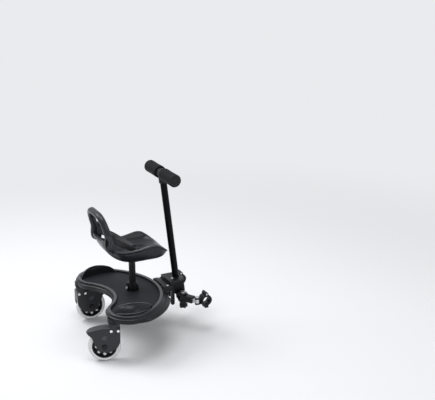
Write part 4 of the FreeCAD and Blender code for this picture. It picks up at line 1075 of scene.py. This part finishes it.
class BOARD_OT_casters(bpy.types.Operator):
    """Dress the casters: screw heads, hub windows, bosses and eased forks."""
    bl_idname = "board.casters"
    bl_label = "Dress casters"

    def execute(self, context):
        lens = turned(WINDOW_PROFILE, (0, 0, 0), UP, WINDOW_SIDES)
        boss = turned(BOSS_PROFILE, (0, 0, 0), UP, BOSS_SIDES)
        for name, side in SIDES:
            axis = caster_axis(side)
            faces = [(face * FORK_HALF, axis * face) for face in (-1, 1)]
            heads = [(on_caster(side, x, y, SCREW_Z), way) for x, way in faces for y in SCREW_YS]
            repeated("caster_screw_heads_" + name, screw_head(*FORK_SCREW), heads, "bright", "caster_" + name,
                     ("caster_screws_" + name,))
            windows = [(on_caster(side, 0.0, -TRAIL + WINDOW_REACH * cos(turn),
                                  WHEEL_Z + WINDOW_REACH * sin(turn)), axis)
                       for turn in turn_angles(WINDOWS)]
            repeated("hub_windows_" + name, lens, windows, "lens", "wheel_" + name)
            softened("caster_fork_" + name, FORK_EDGE, "fork", "caster_" + name)
            bosses = [(on_caster(side, x, BOSS_Y, BOSS_Z), way) for x, way in faces]
            # The bosses take the painted highlight
            repeated("fork_bosses_" + name, boss, bosses, "crest", "caster_" + name)
        return {"FINISHED"}


class BOARD_OT_handle(bpy.types.Operator):
    """Model the foam grips and their end caps."""
    bl_idname = "board.handle"
    bl_label = "Model grips"

    def execute(self, context):
        tee = (0.0, POLE_Y - (TEE_Z - POLE_Z) * tan(POLE_LEAN), TEE_Z)
        for name, side in SIDES:
            foam = turned(grip_profile(), tee, (side, 0, 0), GRIP_SIDES)
            piece("foam_grip_" + name, *foam, "grip", "handle", ("grip_" + name,))
            cap = turned(cap_profile(), tee, (side, 0, 0), GRIP_SIDES)
            piece("end_cap_" + name, *cap, "black", "handle", ("grip_cap_" + name,))
        return {"FINISHED"}


# Hitch: its screws, and the edges eased on its pieces and on those of each arm, with their bodies
PLATE_SCREW, PLATE_SCREW_X, PLATE_SCREW_Y, PLATE_TOP = (4.0, 2.0), 36.0, 232.0, 156.0
HITCH_EDGES = (("cross_plate", 1.2, "deck"), ("hitch_block", 0.9, "deck"), ("yoke", 0.8, "hitch"))
ARM_EDGES = (("arm_sleeve_", 0.9, "arm_"), ("clamp_body_", 0.7, "clamp_"), ("clamp_jaw_", 0.7, "jaw_"),
             ("arm_knob_", 0.9, "knob_"))
COLLAR_EDGE, COLLAR_STRETCH = 0.7, 1.45


class BOARD_OT_hitch(bpy.types.Operator):
    """Ease the edges of the hitch, arms, clamps and collar, and seat the plate's screws."""
    bl_idname = "board.hitch"
    bl_label = "Dress hitch"

    def execute(self, context):
        heads = [((x, PLATE_SCREW_Y, PLATE_TOP), UP) for x in (-PLATE_SCREW_X, PLATE_SCREW_X)]
        head = screw_head(*PLATE_SCREW)
        repeated("plate_screw_heads", head, heads, "bright", "deck", ("cross_plate_screws",))
        for node, width, body in HITCH_EDGES:
            softened(node, width, "black", body)
        collar = softened("post_collar", COLLAR_EDGE, "black", "deck").data
        for vert in collar.vertices:
            x, y, z = drawn(vert.co)
            vert.co = at(x, y, max(z, FLOOR_Z + (z - FLOOR_Z) * COLLAR_STRETCH))
        for name, _ in SIDES:
            for node, width, body in ARM_EDGES:
                softened(node + name, width, "black", body + name)
        return {"FINISHED"}


# Stage: the floor's half size, shade and fade, the camera's film and reach, and the lamps' places and sizes
FLOOR_SIZE, FLOOR_SHADE, FLOOR_FADE = 12.0, 0.95, (0.5, 2.2)
SENSOR, CLIP_END = 36.0, 100.0
LAMPS = (("key", (-1.3, -1.5, 2.4), 1.6), ("top", (0.25, -0.35, 2.3), 1.2), ("fill", (2.4, 1.4, 1.2), 2.0))


def pale_floor(colour):
    """Matt floor that takes shadows near the board and turns into an even backdrop far from it."""
    mat, place = new_material("pale_floor", {"Base Color": shade(colour, FLOOR_SHADE), "Roughness": 0.9})
    tree = mat.node_tree
    reach = new_node(tree, "ShaderNodeVectorMath", {"Vector": place}, operation="LENGTH")
    far = new_node(tree, "ShaderNodeMapRange", {
        "Value": reach.outputs["Value"], "From Min": FLOOR_FADE[0], "From Max": FLOOR_FADE[1]},
        interpolation_type="SMOOTHSTEP")
    glow = new_node(tree, "ShaderNodeEmission", {"Color": (*colour, 1)})
    shader = tree.nodes["Principled BSDF"]
    mix = new_node(tree, "ShaderNodeMixShader", {
        0: far.outputs["Result"], 1: shader.outputs[0], 2: glow.outputs[0]})
    fed(tree.nodes["Material Output"], {"Surface": mix.outputs[0]})
    return mat


def studio_sky(stage):
    """White light all round, which the camera and mirrors see in the backdrop's colour."""
    world = bpy.data.worlds.new("studio")
    world.use_nodes = True
    tree = world.node_tree
    light = fed(tree.nodes["Background"], {"Color": (1, 1, 1, 1), "Strength": stage.sky_strength})
    seen = new_node(tree, "ShaderNodeBackground", {"Color": (*stage.back_colour, 1)})
    rays = new_node(tree, "ShaderNodeLightPath").outputs
    seeing = maths("MAXIMUM", rays["Is Camera Ray"], rays["Is Glossy Ray"])
    seeing = maths("MAXIMUM", seeing, rays["Is Transmission Ray"])
    mix = new_node(tree, "ShaderNodeMixShader", {0: seeing, 1: light.outputs[0], 2: seen.outputs[0]})
    fed(tree.nodes["World Output"], {"Surface": mix.outputs[0]})
    return world


def facing(way):
    """Turn of a lamp or camera that looks one way."""
    return way.to_track_quat("-Z", "Y").to_euler()


class BOARD_OT_stage(bpy.types.Operator):
    """Pale floor, soft light and the camera."""
    bl_idname = "board.stage"
    bl_label = "Set the stage"

    def execute(self, context):
        scene = context.scene
        s = scene.board_stage
        scene.view_settings.view_transform = "Standard"
        mesh = bpy.data.meshes.new("studio_floor")
        corners = [(x * FLOOR_SIZE, y * FLOOR_SIZE, CAD_BOX[0].z)
                   for x, y in ((-1, -1), (1, -1), (1, 1), (-1, 1))]
        mesh.from_pydata(corners, [], [(0, 1, 2, 3)])
        floor = new_object("studio_floor", mesh)
        mesh.materials.append(pale_floor(s.back_colour))
        scene.world = studio_sky(s)
        middle = (CAD_BOX[0] + CAD_BOX[1]) / 2
        for name, place, width in LAMPS:
            lamp = bpy.data.lights.new(name + "_light", "AREA")
            lamp.energy = getattr(s, name + "_power")
            lamp.size = width
            light = new_object(name + "_light", lamp)
            light.location = place
            light.rotation_euler = facing(middle - Vector(place))
        camera = bpy.data.cameras.new("photo_camera")
        camera.lens = s.lens
        camera.sensor_width = SENSOR
        camera.clip_end = CLIP_END
        eye = new_object("photo_camera", camera)
        eye.location = s.eye
        level = cos(s.tilt)
        eye.rotation_euler = facing(Vector((-sin(s.azimuth) * level, cos(s.azimuth) * level,
                                            -sin(s.tilt))))
        scene.camera = eye
        return {"FINISHED"}


class BOARD_PT_panel(bpy.types.Panel):
    """Sidebar list of the steps that dress the board."""
    bl_idname = "BOARD_PT_panel"
    bl_label = "Buggy board"
    bl_space_type = "VIEW_3D"
    bl_region_type = "UI"
    bl_category = "Board"

    def draw(self, context):
        column = self.layout.column()
        for step in STEPS:
            column.operator(step.bl_idname)


STEPS = (BOARD_OT_finishes, BOARD_OT_carried, BOARD_OT_deck, BOARD_OT_saddle, BOARD_OT_belt, BOARD_OT_casters,
         BOARD_OT_handle, BOARD_OT_hitch, BOARD_OT_stage)
CLASSES = (BoardFinish, BoardStage) + STEPS + (BOARD_PT_panel,)


def register():
    for cls in CLASSES:
        bpy.utils.register_class(cls)
    bpy.types.Scene.board_finish = bpy.props.PointerProperty(type=BoardFinish)
    bpy.types.Scene.board_stage = bpy.props.PointerProperty(type=BoardStage)


def unregister():
    del bpy.types.Scene.board_finish
    del bpy.types.Scene.board_stage
    for cls in reversed(CLASSES):
        bpy.utils.unregister_class(cls)


def main():
    register()
    bpy.ops.board.finishes()
    bpy.ops.board.carried()
    bpy.ops.board.deck()
    bpy.ops.board.saddle()
    bpy.ops.board.belt()
    bpy.ops.board.casters()
    bpy.ops.board.handle()
    bpy.ops.board.hitch()
    bpy.ops.board.stage()


if __name__ == "__main__":
    main()
